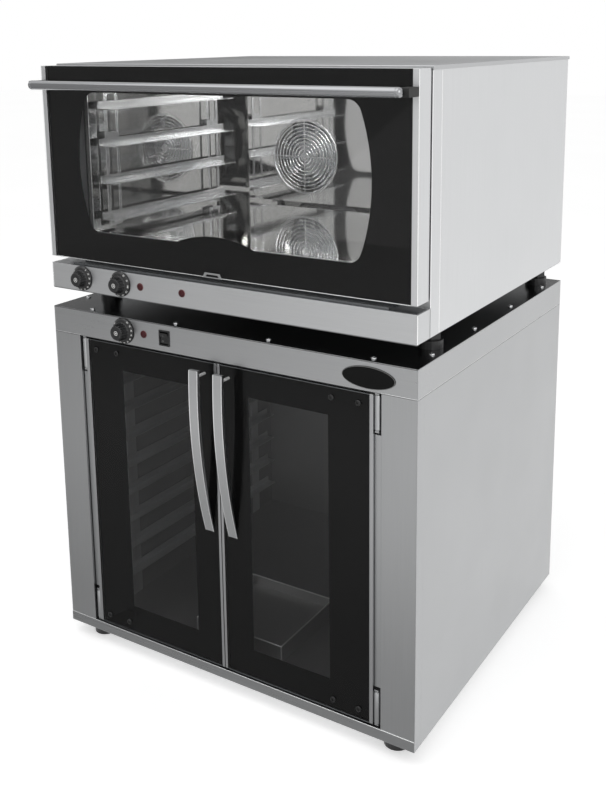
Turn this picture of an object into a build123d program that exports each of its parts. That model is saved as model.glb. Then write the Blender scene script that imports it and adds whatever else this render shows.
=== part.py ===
from build123d import *

import math
import os

# Convection oven on its proving cabinet. Sizes are in millimetres.
# The model is drawn with x = 0 at the middle, y = 0 at the cabinet's front face with +y to the back,
# and z = 0 at the cabinet's underside. write() moves it to its own frame: the origin is the middle of
# the overall box, on the ground.

# Sheet, glass and clearances
SHEET = 1.5
FOLD = 20.0
LINER_T = 1.2
GLASS_T = 5.0
PRINT_T = 0.3
SEAL_W = 8.0
RUNNING = 0.05
SEAT = 0.3

# Cabinet: driving sizes
CAB_W = 835.0
CAB_D = 724.0
CAB_H = 716.0
CAB_FOOT_H = 28.0
CAB_FOOT_R = 25.0
CAB_STEM_R = 14.0
CAB_FOOT_IN = 56.5
CAB_FOOT_INSET = 44.0
BASE_H = 21.0
FASCIA_H = 54.0
POST_W = 68.5
POST_D = 26.0
CHAMBER_MARGIN = 31.0
CHAMBER_SILL = 23.0
CHAMBER_HEAD = 4.0
CHAMBER_BACK_GAP = 84.0
RUNNER_LEVELS = 8
RUNNER_PITCH = 62.5
RUNNER_RISE = 63.0
RUNNER_LEDGE = 22.0
RUNNER_T = 1.5
RUNNER_LIFT = 14.0
RUNNER_FRONT = 24.0
RUNNER_BACK = 20.0
RUNNER_POST_W = 28.0
RUNNER_POST_IN = 40.0
PAN_W = 208.0
PAN_D = 200.0
PAN_H = 36.0
PAN_LIFT = 14.0
PAN_INSET = 20.0
PAN_HEATER_W = 160.0
PAN_HEATER_D = 60.0
PAN_HEATER_T = 8.0
PAN_HEATER_FOOT = 8.0

# Cabinet doors: driving sizes
DOOR_GAP = 16.0
DOOR_T = 20.0
DOOR_SLIT = 1.0
DOOR_BELOW = 5.0
DOOR_ABOVE = 4.0
STRIP_OUT = 7.0
STRIP_IN = 5.5
STILE_W = 20.0
RAIL_W = 14.0
DOOR_WALL = 1.8
WINDOW_IN = 67.0
WINDOW_OUT = 93.0
WINDOW_BELOW = 69.0
WINDOW_ABOVE = 56.0
HANDLE_X = 28.0
HANDLE_W = 20.0
HANDLE_T = 7.0
HANDLE_LENGTH = 337.0
HANDLE_DROP = 8.0
HANDLE_STAND = 36.0
HANDLE_BOW = 14.5
HANDLE_ROD_R = 2.5
HANDLE_ROD_DROP = 15.0
HINGE_R = 5.0
HINGE_PIN_R = 2.5
HINGE_BEHIND = 7.0
HINGE_OUT = 6.0
BARREL_H = 65.0
EAR_H = 3.0
PLATE_T = 3.0
PLATE_H = 28.0
PLATE_LENGTH = 101.0
MAGNET_X = 12.0
MAGNET_W = 32.0
MAGNET_H = 6.4

# Oven: driving sizes
OVEN_NARROWER = 4.4
OVEN_D = 725.0
OVEN_H = 453.5
OVEN_FOOT_H = 40.0
OVEN_FOOT_R = 23.0
OVEN_STEM_R = 19.5
OVEN_PAD_H = 15.0
OVEN_FOOT_IN = 37.3
OVEN_FOOT_FRONT = 130.0
OVEN_FOOT_BACK = 53.0
COVER_LIP = 6.5
COVER_OVER = 2.2
PANEL_H = 51.0
BODY_FRONT = 48.0
FRAME_WRAP = 36.0
CAVITY_MARGIN = 75.3
CAVITY_SILL = 63.5
CAVITY_HEAD = 38.0
CAVITY_BACK_GAP = 125.0
WOOL_T = 25.0
RACK_LEVELS = 4
RACK_PITCH = 75.0
RACK_RISE = 21.0
RACK_STAND = 12.0
RACK_LEDGE = 33.0
RACK_T = 1.5
RACK_LIFT = 16.0
RACK_POST_W = 40.0
RACK_WINDOWS = 3
RACK_WINDOW_W = 26.0
RACK_BRIDGE = 16.0
RACK_FRONT = 14.0
RACK_BACK = 50.0
RACK_POST_IN = 20.0
STUD_W = 8.0
BAFFLE_GAP = 70.0
BAFFLE_MARGIN = 50.0
BAFFLE_FOLD = 14.0
BAFFLE_LEG = 10.0
FAN_X = 132.0
FAN_RISE = 113.0
FAN_R = 85.0
FAN_DEPTH = 34.0
FAN_BLADES = 12
SHAFT_R = 4.0
SHAFT_HOLE = 18.0
WHEEL_BACK = 12.0
SHAFT_NOSE = 20.0
SHAFT_IN = 20.0
BLADE_IN = 20.0
BLADE_W = 30.0
BLADE_SET = 10.0
GUARD_RINGS = 5
GUARD_FIRST_R = 26.0
GUARD_PITCH = 11.5
GUARD_SLOT = 6.0
GUARD_SPOKE = 9.0
GUARD_CHORDS = 3
HEATER_HALF = 98.0
HEATER_BEND = 30.0
HEATER_T = 8.0
HEATER_BACK = 40.0
TERMINAL_GAP = 32.0
TERMINAL_W = 6.0
TERMINAL_OUT = 20.0
MOTOR_GAP = 44.0
MOTOR_DEPTH = 46.0
MOTOR_W = 80.0
MOTOR_POST = 8.0
COIL_W = 46.0
COIL_H = 24.0
BELL_T = 16.0

# Oven door: driving sizes
OD_T = 42.0
OD_SIDE_GAP = 0.8
OD_UNDER = 14.5
OD_HEAD_GAP = 3.5
OD_STRIP = 11.5
OD_STILE = 30.0
OD_RAIL = 28.0
OD_WALL = 2.0
OD_INNER_T = 4.0
OD_WINDOW_BELOW = 58.0
OD_WINDOW_ABOVE = 50.0
OD_WINDOW_SIDE = 76.0
OD_WINDOW_BULGE = 27.0
OD_WINDOW_R = 28.0
OD_BUMP_W = 180.0
OD_BUMP_H = 18.0
OD_HINGE_Y = 14.0
OD_HINGE_RISE = 14.0
EAR_R = 6.0
EAR_T = 5.0
EAR_FOOT = 6.5
EAR_FOOT_T = 2.0
EAR_IN = 17.0
EAR_PIN_R = 4.0
BAR_R = 9.0
BAR_STAND = 40.0
BAR_DROP = 35.5
BAR_SHORT = 8.5
BLOCK_W = 17.5
BLOCK_H = 19.0
BLOCK_IN = 1.0
BLOCK_BACK = 5.0
CLIP_W = 44.0
CLIP_TOP_W = 34.0
CLIP_H = 9.3
CLIP_X = -3.0
CLIP_T = 1.4
GUTTER_H = 5.0
GUTTER_SHORT = 55.3
GUTTER_FRONT = 4.0
GUTTER_REAR = 40.0

# Knobs, lamps, switch, glands and vents: driving sizes. A knob is its skirt's radius, its grip's radius and
# its depth. A control body is its width, its height and how far back it reaches.
TIMER_IN = 83.3
HEAT_KNOB_IN = 184.3
OVEN_LAMPS_IN = (235.3, 338.3)
CAB_KNOB_IN = 189.5
CAB_LAMP_IN = 241.0
SWITCH_IN = 293.5
OVEN_KNOB = (25.5, 14.5, 21.0)
CAB_KNOB = (26.5, 17.0, 24.0)
KNOB_LIFT = 1.0
SKIRT_T = 3.0
KNOB_BEVEL = 1.2
SPINDLE_R = 3.0
SPINDLE_END = 24.0
THERMOSTAT = (34.0, 30.0, 34.0)
TIMER_BODY = (44.0, 36.0, 42.0)
LAMP_R = 7.0
LAMP_T = 3.5
SWITCH_W = 25.0
SWITCH_H = 31.0
SWITCH_D = 22.0
BEZEL_T = 2.0
ROCKER_IN = 2.8
ROCKER_Y = 4.0
ROCKER_ROOT = 6.0
GLAND_REACH = 14.0
GLAND_BORE = 4.5
GLAND_R = 11.0
VENT_W = 150.0
VENT_H = 7.0
VENT_PITCH = 16.0
VENT_COUNT = 5
VENT_X = -150.0
VENT_RISE = 140.0
OVEN_VENT_RISE = 60.0
OVEN_VENT_DROP = 120.0
GLAND_IN = 117.5
CAB_GLAND_RISE = 90.0
OVEN_GLAND_RISE = 34.0

# Cabinet: places worked out from the sizes
POST_X = CAB_W / 2 - POST_W
SIDE_X = CAB_W / 2 - SHEET
SEAM_Z = CAB_H - FASCIA_H
DOOR_EDGE = POST_X - DOOR_GAP
DOOR_BOTTOM = BASE_H + DOOR_BELOW
DOOR_TOP = SEAM_Z - DOOR_ABOVE
HINGE_X = DOOR_EDGE + HINGE_OUT
WINDOW_X = (DOOR_SLIT + WINDOW_IN, DOOR_EDGE - WINDOW_OUT)
WINDOW_Z = (DOOR_BOTTOM + WINDOW_BELOW, DOOR_TOP - WINDOW_ABOVE)
HANDLE_Z = (DOOR_TOP - HANDLE_DROP - HANDLE_LENGTH, DOOR_TOP - HANDLE_DROP)
CHAMBER_HALF = POST_X - CHAMBER_MARGIN
CHAMBER_FLOOR = BASE_H + CHAMBER_SILL
CHAMBER_CEILING = DOOR_TOP - RAIL_W - CHAMBER_HEAD
CHAMBER_REAR = CAB_D - CHAMBER_BACK_GAP
CAB_FOOT_X = CAB_W / 2 - CAB_FOOT_IN

# Oven: places worked out from the sizes
OVEN_W = CAB_W - OVEN_NARROWER
OVEN_SIDE = OVEN_W / 2 - SHEET
OVEN_Z = CAB_H + OVEN_FOOT_H
OVEN_TOP = OVEN_Z + OVEN_H
OVEN_FOOT_X = OVEN_W / 2 - OVEN_FOOT_IN
COVER_Z = OVEN_TOP - SHEET
COVER_SKIRT = OVEN_TOP - COVER_LIP
PANEL_TOP = OVEN_Z + SHEET + PANEL_H
CAVITY_HALF = OVEN_W / 2 - CAVITY_MARGIN
CAVITY_FLOOR = PANEL_TOP + CAVITY_SILL
CAVITY_CEILING = COVER_SKIRT - CAVITY_HEAD
CAVITY_REAR = OVEN_D - CAVITY_BACK_GAP
BAFFLE_Y = CAVITY_REAR - BAFFLE_GAP
BAFFLE_HALF = CAVITY_HALF - BAFFLE_MARGIN
FAN_Z = CAVITY_FLOOR + FAN_RISE
MOTOR_Y = (CAVITY_REAR + MOTOR_GAP, CAVITY_REAR + MOTOR_GAP + MOTOR_DEPTH)
OD_HALF = OVEN_W / 2 - OD_SIDE_GAP
OD_BOTTOM = PANEL_TOP + OD_UNDER
OD_TOP = OVEN_TOP - OD_HEAD_GAP
OD_WINDOW_Z = (OD_BOTTOM + OD_WINDOW_BELOW, OD_TOP - OD_WINDOW_ABOVE)
OD_WINDOW_MID = OD_HALF - OD_STRIP - OD_WINDOW_SIDE
EAR_X = OD_HALF - EAR_IN
BAR_Z = OD_TOP - BAR_DROP
BAR_HALF = OD_HALF - BAR_SHORT

# Controls: middles as x and z, with x from the left edge of their unit
OVEN_CONTROL_Z = OVEN_Z + SHEET + PANEL_H / 2 + 1
CAB_CONTROL_Z = SEAM_Z + FASCIA_H / 2
KNOB_C = (CAB_KNOB_IN - CAB_W / 2, CAB_CONTROL_Z)
LAMP_C = (CAB_LAMP_IN - CAB_W / 2, CAB_CONTROL_Z)
SWITCH_C = (SWITCH_IN - CAB_W / 2, CAB_CONTROL_Z)
TIMER_C = (TIMER_IN - OVEN_W / 2, OVEN_CONTROL_Z)
HEAT_C = (HEAT_KNOB_IN - OVEN_W / 2, OVEN_CONTROL_Z)
OVEN_LAMPS = [(place - OVEN_W / 2, OVEN_CONTROL_Z) for place in OVEN_LAMPS_IN]
CAB_GLAND = (CAB_W / 2 - GLAND_IN, CAB_GLAND_RISE)
OVEN_GLAND = (CAB_W / 2 - GLAND_IN, OVEN_Z + OVEN_GLAND_RISE)

ROCKER_HALF = SWITCH_W / 2 - ROCKER_IN

# Overall box
REAR_Y = max(CAB_D, OVEN_D)
FRONT_Y = -(BAR_STAND + BAR_R)
MIDDLE_Y = (FRONT_Y + REAR_Y + GLAND_REACH) / 2

os.makedirs("parts", exist_ok=True)


def write(node, *pieces):
    """Move the pieces to the part's frame and write them as one named file."""
    placed = [Pos(0, -MIDDLE_Y, CAB_FOOT_H) * piece for piece in pieces]
    export_step(placed[0] if len(placed) == 1 else Compound(placed), f"parts/{node}.step")


def block(x, y, z):
    """A block between the lower and upper limits x, y and z."""
    sizes = [high - low for low, high in (x, y, z)]
    middle = [(low + high) / 2 for low, high in (x, y, z)]
    return Pos(*middle) * Box(*sizes)


def outline(*points):
    """A flat face inside straight lines through the points."""
    return make_face(Polyline(*points, close=True).edges())


def along_x(face, low, high):
    """The face, drawn in y and z, as a bar from x = low to x = high."""
    return extrude(Plane.YZ.offset(low) * face, amount=high - low)


def along_y(face, low, high):
    """The face, drawn in x and z, as a plate from y = low to y = high."""
    return extrude(Plane.XZ.offset(-high) * face, amount=high - low)


def along_z(face, low, high):
    """The face, drawn in x and y, as a bar from z = low to z = high."""
    return extrude(Plane.XY.offset(low) * face, amount=high - low)


def rod(start, end, radius):
    """A round bar between two points."""
    line = Vector(*end) - Vector(*start)
    return extrude(Plane(origin=start, z_dir=line) * Circle(radius), amount=line.length)


def round_face(radius):
    """A round outline drawn with 24 flats, for feet, lamps and hinge barrels."""
    return RegularPolygon(radius, 24)


def both_sides(piece):
    """The piece and its mirror image across the middle."""
    return [piece, mirror(piece, about=Plane.YZ)]


def slots(x, low, rear):
    """Vent slots one above another, cut through a back panel."""
    half = VENT_W / 2
    lows = [low + row * VENT_PITCH for row in range(VENT_COUNT)]
    return [block((x - half, x + half), (rear - 2 * SHEET, rear + 1), (z, z + VENT_H)) for z in lows]


# Cabinet shell


def cabinet_base():
    """A tray folded down on all sides, stepped in behind the two front posts."""
    half, front, rear = SIDE_X, POST_X, CAB_D - 2 * SHEET
    step = outline((-front, 0), (front, 0), (front, POST_D), (half, POST_D), (half, rear),
                   (-half, rear), (-half, POST_D), (-front, POST_D))
    hollow = offset(step, -SHEET, kind=Kind.INTERSECTION)
    return along_z(step, 0, BASE_H) - along_z(hollow, -1, BASE_H - SHEET)


def cabinet_feet():
    """Short round feet, each with a hexagonal stem seated under the base's deck."""
    feet = []
    for x in (-CAB_FOOT_X, CAB_FOOT_X):
        for y in (CAB_FOOT_INSET, CAB_D - CAB_FOOT_INSET):
            stem = along_z(Pos(x, y) * RegularPolygon(CAB_STEM_R, 6), 0, BASE_H - SHEET)
            feet.append(along_z(Pos(x, y) * round_face(CAB_FOOT_R), -CAB_FOOT_H, 0).fuse(stem))
    return feet


def folded_side(outer, front, rear, low, high):
    """A side panel with a fold towards the middle along its rear edge."""
    shape = outline((outer - SHEET, front), (outer, front), (outer, rear), (outer - FOLD, rear),
                    (outer - FOLD, rear - SHEET), (outer - SHEET, rear - SHEET))
    return along_z(shape, low, high)


def back_panel(half, rear, low, high, vents):
    """The flat back with its vent slots and the hole behind the cable gland."""
    panel = block((-half, half), (rear - SHEET, rear), (low, high))
    return panel - vents


def front_post():
    """A hollow folded post beside each door."""
    ring = Rectangle(POST_W, POST_D) - Rectangle(POST_W - 2 * SHEET, POST_D - 2 * SHEET)
    return along_z(Pos(POST_X + POST_W / 2, POST_D / 2) * ring, 0, SEAM_Z)


def cabinet_fascia():
    """The band over the doors, with its returns along both sides and its folded edges."""
    half, rear, top = CAB_W / 2, CAB_D - SHEET, CAB_H - SHEET
    band = block((-half, half), (0, rear), (SEAM_Z, top))
    band -= block((-SIDE_X, SIDE_X), (SHEET, rear + 1), (SEAM_Z + SHEET, top - SHEET))
    band -= block((-SIDE_X, SIDE_X), (POST_D, rear + 1), (SEAM_Z - 1, SEAM_Z + 2 * SHEET))
    band -= block((FOLD - half, half - FOLD), (FOLD, rear + 1), (top - 2 * SHEET, top + 1))
    band -= rod((KNOB_C[0], -1, KNOB_C[1]), (KNOB_C[0], 3, KNOB_C[1]), SPINDLE_R + 1)
    hole = (SWITCH_W / 2 - 1.3, SWITCH_H / 2 - 1.3)
    return band - block((SWITCH_C[0] - hole[0], SWITCH_C[0] + hole[0]), (-1, 3),
                        (SWITCH_C[1] - hole[1], SWITCH_C[1] + hole[1]))


def gland_hole(place, rear):
    """The square hole in a back panel behind its cable gland."""
    side = 2 * GLAND_BORE + 2
    return along_y(Pos(*place) * Rectangle(side, side), rear - SHEET - 1, rear + 1)


def cable_gland(place, rear):
    """A hexagonal gland with its bore, on the outside of a back panel."""
    nut = RegularPolygon(GLAND_R, 6) - Circle(GLAND_BORE)
    return along_y(Pos(*place) * nut, rear, rear + GLAND_REACH)


# Cabinet chamber


def cabinet_liner():
    """Five folded plates: floor, ceiling and sides with their front flanges, and the rear."""
    inner, rear, front = CHAMBER_HALF, CHAMBER_REAR, POST_D
    floor, ceiling = CHAMBER_FLOOR, CHAMBER_CEILING
    outer, back = inner + LINER_T, front + LINER_T
    side = along_z(outline((inner, front), (POST_X, front), (POST_X, back), (outer, back),
                           (outer, rear), (inner, rear)), floor, ceiling)
    bottom = along_x(outline((front, BASE_H), (back, BASE_H), (back, floor - LINER_T),
                             (rear, floor - LINER_T), (rear, floor), (front, floor)), -outer, outer)
    top = along_x(outline((front, ceiling), (rear, ceiling), (rear, ceiling + LINER_T),
                          (back, ceiling + LINER_T), (back, SEAM_Z), (front, SEAM_Z)), -outer, outer)
    ends = [block((outer, POST_X), (front, back), limits) for limits in ((BASE_H, floor), (ceiling, SEAM_Z))]
    wall = block((-outer, outer), (rear, rear + LINER_T), (floor - LINER_T, ceiling + LINER_T))
    fixed = [bottom, top, wall, *both_sides(side)]
    return fixed + [copy for end in ends for copy in both_sides(end)]


def angle_points(face, z, lift, ledge, thick):
    """The corners of an angle whose upright lies on the face and whose ledge points to the middle."""
    return ((face, z), (face, z + lift), (face - thick, z + lift), (face - thick, z + thick),
            (face - ledge, z + thick), (face - ledge, z))


def tray_runners():
    """Angle runners on two uprights at each side of the chamber."""
    face, first = CHAMBER_HALF - RUNNER_T, CHAMBER_FLOOR + RUNNER_RISE
    front, rear = POST_D + RUNNER_FRONT, CHAMBER_REAR - RUNNER_BACK
    top = first + (RUNNER_LEVELS - 1) * RUNNER_PITCH + RUNNER_PITCH / 2
    pieces = []
    for y in (front + RUNNER_POST_IN, rear - RUNNER_POST_IN - RUNNER_POST_W):
        upright = block((face, CHAMBER_HALF), (y, y + RUNNER_POST_W), (CHAMBER_FLOOR, top))
        pieces += both_sides(upright)
    for level in range(RUNNER_LEVELS):
        z = first + level * RUNNER_PITCH
        angle = outline(*angle_points(face, z, RUNNER_LIFT, RUNNER_LEDGE, RUNNER_T))
        pieces += both_sides(along_y(angle, front, rear))
    return pieces


def water_pan():
    """An open pan on the chamber floor whose skirt leaves a space under it for the heater."""
    half, front, low = PAN_W / 2, POST_D + PAN_INSET, CHAMBER_FLOOR
    inside = ((LINER_T - half, half - LINER_T), (front + LINER_T, front + PAN_D - LINER_T))
    shell = block((-half, half), (front, front + PAN_D), (low, low + PAN_H))
    shell -= block(*inside, (low + PAN_LIFT + LINER_T, low + PAN_H + 1))
    return shell - block(*inside, (low - 1, low + PAN_LIFT))


def pan_heater():
    """A flat strip heater against the pan's underside, on two feet."""
    x, y, z = PAN_HEATER_W / 2, PAN_HEATER_D / 2, CHAMBER_FLOOR + PAN_LIFT
    middle = POST_D + PAN_INSET + PAN_D / 2
    strip = block((-x, x), (middle - y, middle + y), (z - PAN_HEATER_T, z))
    foot = block((x - 3 * PAN_HEATER_FOOT, x - 2 * PAN_HEATER_FOOT), (middle - y / 2, middle + y / 2),
                 (CHAMBER_FLOOR, z - PAN_HEATER_T))
    return strip.fuse(*both_sides(foot))


def seals(half, low, high, seat, door_back):
    """Four seal strips round an opening, from the seat up to just behind the closed door."""
    width, depth = SEAL_W, seat - door_back - SEAT
    nose = depth * 0.5
    middle = half + width / 2 + 1
    upright = outline((middle - width / 2, seat), (middle - width / 2, seat - nose),
                      (middle - width / 4, seat - depth), (middle + width / 4, seat - depth),
                      (middle + width / 2, seat - nose), (middle + width / 2, seat))
    pieces = both_sides(along_z(upright, low - 1, high + 1))
    for z in (low - 1 - width, high + 1):
        level = outline((seat, z), (seat - nose, z), (seat - depth, z + width / 4),
                        (seat - depth, z + width * 3 / 4), (seat - nose, z + width), (seat, z + width))
        pieces.append(along_x(level, -middle - width / 2, middle + width / 2))
    return pieces


# Oven shell


def oven_base():
    """The bottom sheet with low folds inside the side and back panels."""
    half, rear, lip, low = OVEN_SIDE, OVEN_D - 2 * SHEET, 12.0, OVEN_Z
    tray = block((-half, half), (0, rear), (low, low + lip))
    tray -= block((SHEET - half, half - SHEET), (-1, rear - SHEET), (low + SHEET, low + lip + 1))
    return tray - block((-half - 1, half + 1), (-1, BODY_FRONT + SHEET), (low + SHEET, low + lip + 1))


def oven_feet():
    """Levelling feet: a round pad under a hexagonal stem."""
    feet = []
    for x in (-OVEN_FOOT_X, OVEN_FOOT_X):
        for y in (OVEN_FOOT_FRONT, OVEN_D - OVEN_FOOT_BACK):
            stem = along_z(Pos(x, y) * RegularPolygon(OVEN_STEM_R, 6), CAB_H + OVEN_PAD_H, OVEN_Z)
            pad = along_z(Pos(x, y) * round_face(OVEN_FOOT_R), CAB_H, CAB_H + OVEN_PAD_H)
            feet.append(pad.fuse(stem))
    return feet


def oven_top():
    """A shallow cover folded down on four sides over the body, behind the door."""
    half, lip = OVEN_W / 2 + COVER_OVER, COVER_SKIRT
    limits = ((-half, half), (BODY_FRONT - COVER_OVER, OVEN_D + COVER_OVER))
    cover = block(*limits, (lip, OVEN_TOP))
    cover = fillet(cover.edges().group_by(Axis.Z)[-1], SHEET * 0.8)
    inner = [(low + SHEET, high - SHEET) for low, high in limits]
    return cover - block(*inner, (lip - 1, COVER_Z))


def oven_front_frame():
    """Four folded sheets round the cavity mouth; the outer two wrap round the sides."""
    front, back, half = BODY_FRONT, BODY_FRONT + SHEET, OVEN_W / 2
    post = along_z(outline((CAVITY_HALF, front), (half, front), (half, front + FRAME_WRAP),
                           (OVEN_SIDE, front + FRAME_WRAP), (OVEN_SIDE, back), (CAVITY_HALF, back)),
                   OVEN_Z + SHEET, COVER_Z)
    lower = block((-CAVITY_HALF, CAVITY_HALF), (front, back), (PANEL_TOP - SHEET, CAVITY_FLOOR))
    upper = block((-CAVITY_HALF, CAVITY_HALF), (front, back), (CAVITY_CEILING, COVER_Z))
    return [*both_sides(post), lower, upper]


def control_panel():
    """The folded strip under the door with its side returns, shelf and holes."""
    half, low, high = OVEN_W / 2, OVEN_Z + SHEET, PANEL_TOP
    panel = block((-half, half), (0, BODY_FRONT), (low, high))
    panel -= block((-OVEN_SIDE, OVEN_SIDE), (SHEET, BODY_FRONT + 1), (low - 1, high - SHEET))
    for x, z in (TIMER_C, HEAT_C):
        panel -= rod((x, -1, z), (x, 3, z), SPINDLE_R + 1)
    return panel


def drip_gutter():
    """A shallow open trough on the panel's shelf, under the door's lower edge."""
    low, high, front, rear = PANEL_TOP, PANEL_TOP + GUTTER_H, GUTTER_FRONT, GUTTER_REAR
    inner_low, inner_front, inner_rear = low + LINER_T, front + LINER_T, rear - LINER_T
    half = OVEN_W / 2 - GUTTER_SHORT
    section = outline((front, low), (rear, low), (rear, high), (inner_rear, high), (inner_rear, inner_low),
                      (inner_front, inner_low), (inner_front, high), (front, high))
    return along_x(section, -half, half)


# Oven cavity


def oven_cavity():
    """Five liner plates; the rear one has a hole for each fan shaft."""
    inner, outer = CAVITY_HALF, CAVITY_HALF + SHEET
    front, rear = BODY_FRONT + SHEET, CAVITY_REAR
    low, high = CAVITY_FLOOR, CAVITY_CEILING
    side = block((inner, outer), (front, rear), (low, high))
    floor = block((-outer, outer), (front, rear), (low - SHEET, low))
    ceiling = block((-outer, outer), (front, rear), (high, high + SHEET))
    wall = block((-outer, outer), (rear, rear + SHEET), (low - SHEET, high + SHEET))
    for x in (-FAN_X, FAN_X):
        wall -= along_y(Pos(x, FAN_Z) * Rectangle(SHAFT_HOLE, SHAFT_HOLE), rear - 1, rear + SHEET + 1)
        for leg_x, leg_z in terminal_places(x):
            wall -= block(*[(low - SEAT, high + SEAT) for low, high in (leg_x, (rear, rear + SHEET), leg_z)])
    return [floor, ceiling, wall, *both_sides(side)]


def insulation():
    """Wool blankets against the outside of the liner's sides, floor and ceiling."""
    inner, front, rear = CAVITY_HALF + SHEET, BODY_FRONT + SHEET + 2, CAVITY_REAR
    low, high, thick = CAVITY_FLOOR - SHEET, CAVITY_CEILING + SHEET, WOOL_T
    side = block((inner, inner + thick), (front, rear), (low, high))
    bottom = block((-inner - thick, inner + thick), (front, rear), (low - thick, low))
    top = block((-inner - thick, inner + thick), (front, rear), (high, high + thick))
    return [bottom, top, *both_sides(side)]


def tray_racks():
    """Uprights with tall windows on wall studs, carrying an angle rail for each level."""
    face, first, low = CAVITY_HALF - RACK_STAND, CAVITY_FLOOR + RACK_RISE, CAVITY_FLOOR + 6
    front, rear = BODY_FRONT + RACK_FRONT, BAFFLE_Y - RACK_BACK
    top = first + (RACK_LEVELS - 1) * RACK_PITCH + RACK_PITCH / 2
    pitch = (top - low) / RACK_WINDOWS
    pieces = []
    for y in (front + RACK_POST_IN, rear - RACK_POST_IN - RACK_POST_W):
        middle = y + RACK_POST_W / 2
        upright = block((face, face + RACK_T), (y, y + RACK_POST_W), (low, top))
        for number in range(RACK_WINDOWS):
            window = Pos(middle, low + (number + 0.5) * pitch) * Rectangle(RACK_WINDOW_W, pitch - RACK_BRIDGE)
            upright -= along_x(window, face - 1, face + RACK_T + 1)
        pieces += both_sides(upright)
        for z in (low + pitch, top - pitch):
            y_limits, z_limits = [(at - STUD_W / 2, at + STUD_W / 2) for at in (middle, z)]
            pieces += both_sides(block((face + RACK_T, CAVITY_HALF), y_limits, z_limits))
    for level in range(RACK_LEVELS):
        z = first + level * RACK_PITCH
        rail = outline(*angle_points(face, z, RACK_LIFT, RACK_LEDGE, RACK_T))
        pieces += both_sides(along_y(rail, front, rear))
    return pieces


def guard_slot(radius, start):
    """One slot of a fan guard, over a quarter turn less the spoke, punched in short straight chords."""
    inner, outer, chords = radius - GUARD_SLOT / 2, radius + GUARD_SLOT / 2, GUARD_CHORDS
    margin = math.degrees(GUARD_SPOKE / 2 / radius)
    step = (90 - 2 * margin) / chords
    angles = [math.radians(start + margin + step * number) for number in range(chords + 1)]
    near = [(inner * math.cos(angle), inner * math.sin(angle)) for angle in angles]
    far = [(outer * math.cos(angle), outer * math.sin(angle)) for angle in reversed(angles)]
    return outline(*near, *far)


def fan_baffle():
    """The plate in front of the fans, with a ring-slot guard before each and four legs to the rear wall."""
    half, low, high, front = BAFFLE_HALF, CAVITY_FLOOR + 6, CAVITY_CEILING - 6, BAFFLE_Y
    back, fold = front + LINER_T, front + BAFFLE_FOLD
    inner = half - LINER_T
    section = outline((-half, front), (half, front), (half, fold), (inner, fold), (inner, back),
                      (-inner, back), (-inner, fold), (-half, fold))
    cuts = []
    for x in (-FAN_X, FAN_X):
        for ring in range(GUARD_RINGS):
            for quarter in range(4):
                slot = guard_slot(GUARD_FIRST_R + ring * GUARD_PITCH, 45 + 90 * quarter)
                cuts.append(along_y(Pos(x, FAN_Z) * slot, front - 1, back + 1))
    leg_x, leg_z, leg = half - 1.5 * BAFFLE_LEG, (high - low) / 2 - 2 * BAFFLE_LEG, BAFFLE_LEG / 2
    middle = (low + high) / 2
    legs = [block((x - leg, x + leg), (back, CAVITY_REAR), (z - leg, z + leg))
            for x in (-leg_x, leg_x) for z in (middle - leg_z, middle + leg_z)]
    return (along_z(section, low, high) - cuts).fuse(*legs)


def fan(x):
    """A back plate with a flat blade on each of its sides, in one with the motor shaft that carries it."""
    back = CAVITY_REAR - WHEEL_BACK
    wheel = along_y(Pos(x, FAN_Z) * RegularPolygon(FAN_R, FAN_BLADES), back - SHEET, back)
    blade = Pos(FAN_R - BLADE_IN, 0, BLADE_SET) * Box(BLADE_W, FAN_DEPTH, SHEET)
    turns = [Rot(0, 360 / FAN_BLADES * number, 0) for number in range(FAN_BLADES)]
    blades = [Pos(x, back - SHEET - FAN_DEPTH / 2, FAN_Z) * turn * blade for turn in turns]
    shaft = rod((x, back - SHAFT_NOSE, FAN_Z), (x, MOTOR_Y[0] + SHAFT_IN, FAN_Z), SHAFT_R)
    return wheel.fuse(shaft, *blades)


def terminal_places(x):
    """The x and z limits of the two terminal legs of the heater round the fan at x."""
    z, half = FAN_Z - HEATER_HALF, TERMINAL_W / 2
    middles = (x - TERMINAL_GAP / 2, x + TERMINAL_GAP / 2)
    return [((middle - half, middle + half), (z - HEATER_T / 2, z + HEATER_T / 2)) for middle in middles]


def chamfered_square(half, cut):
    """A flat square face with its corners cut off."""
    quarter = [(half, half - cut), (half - cut, half)]
    points = [(x * sx, z * sz) for sx, sz in ((1, 1), (-1, 1), (-1, -1), (1, -1))
              for x, z in (quarter if sx * sz > 0 else quarter[::-1])]
    return outline(*points)


def heater_rings():
    """A flat-pressed element bent in eight runs round each fan, with its legs through the rear wall."""
    rings = []
    outer, inner, middle = HEATER_HALF + HEATER_T / 2, HEATER_HALF - HEATER_T / 2, CAVITY_REAR - HEATER_BACK
    loop = chamfered_square(outer, HEATER_BEND) - chamfered_square(inner, HEATER_BEND - HEATER_T * 0.6)
    for x in (-FAN_X, FAN_X):
        ring = along_y(Pos(x, FAN_Z) * loop, middle - TERMINAL_W / 2, middle + TERMINAL_W / 2)
        depth = (middle, CAVITY_REAR + TERMINAL_OUT)
        legs = [block(leg_x, depth, leg_z) for leg_x, leg_z in terminal_places(x)]
        rings.append(ring.fuse(*legs))
    return rings


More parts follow.
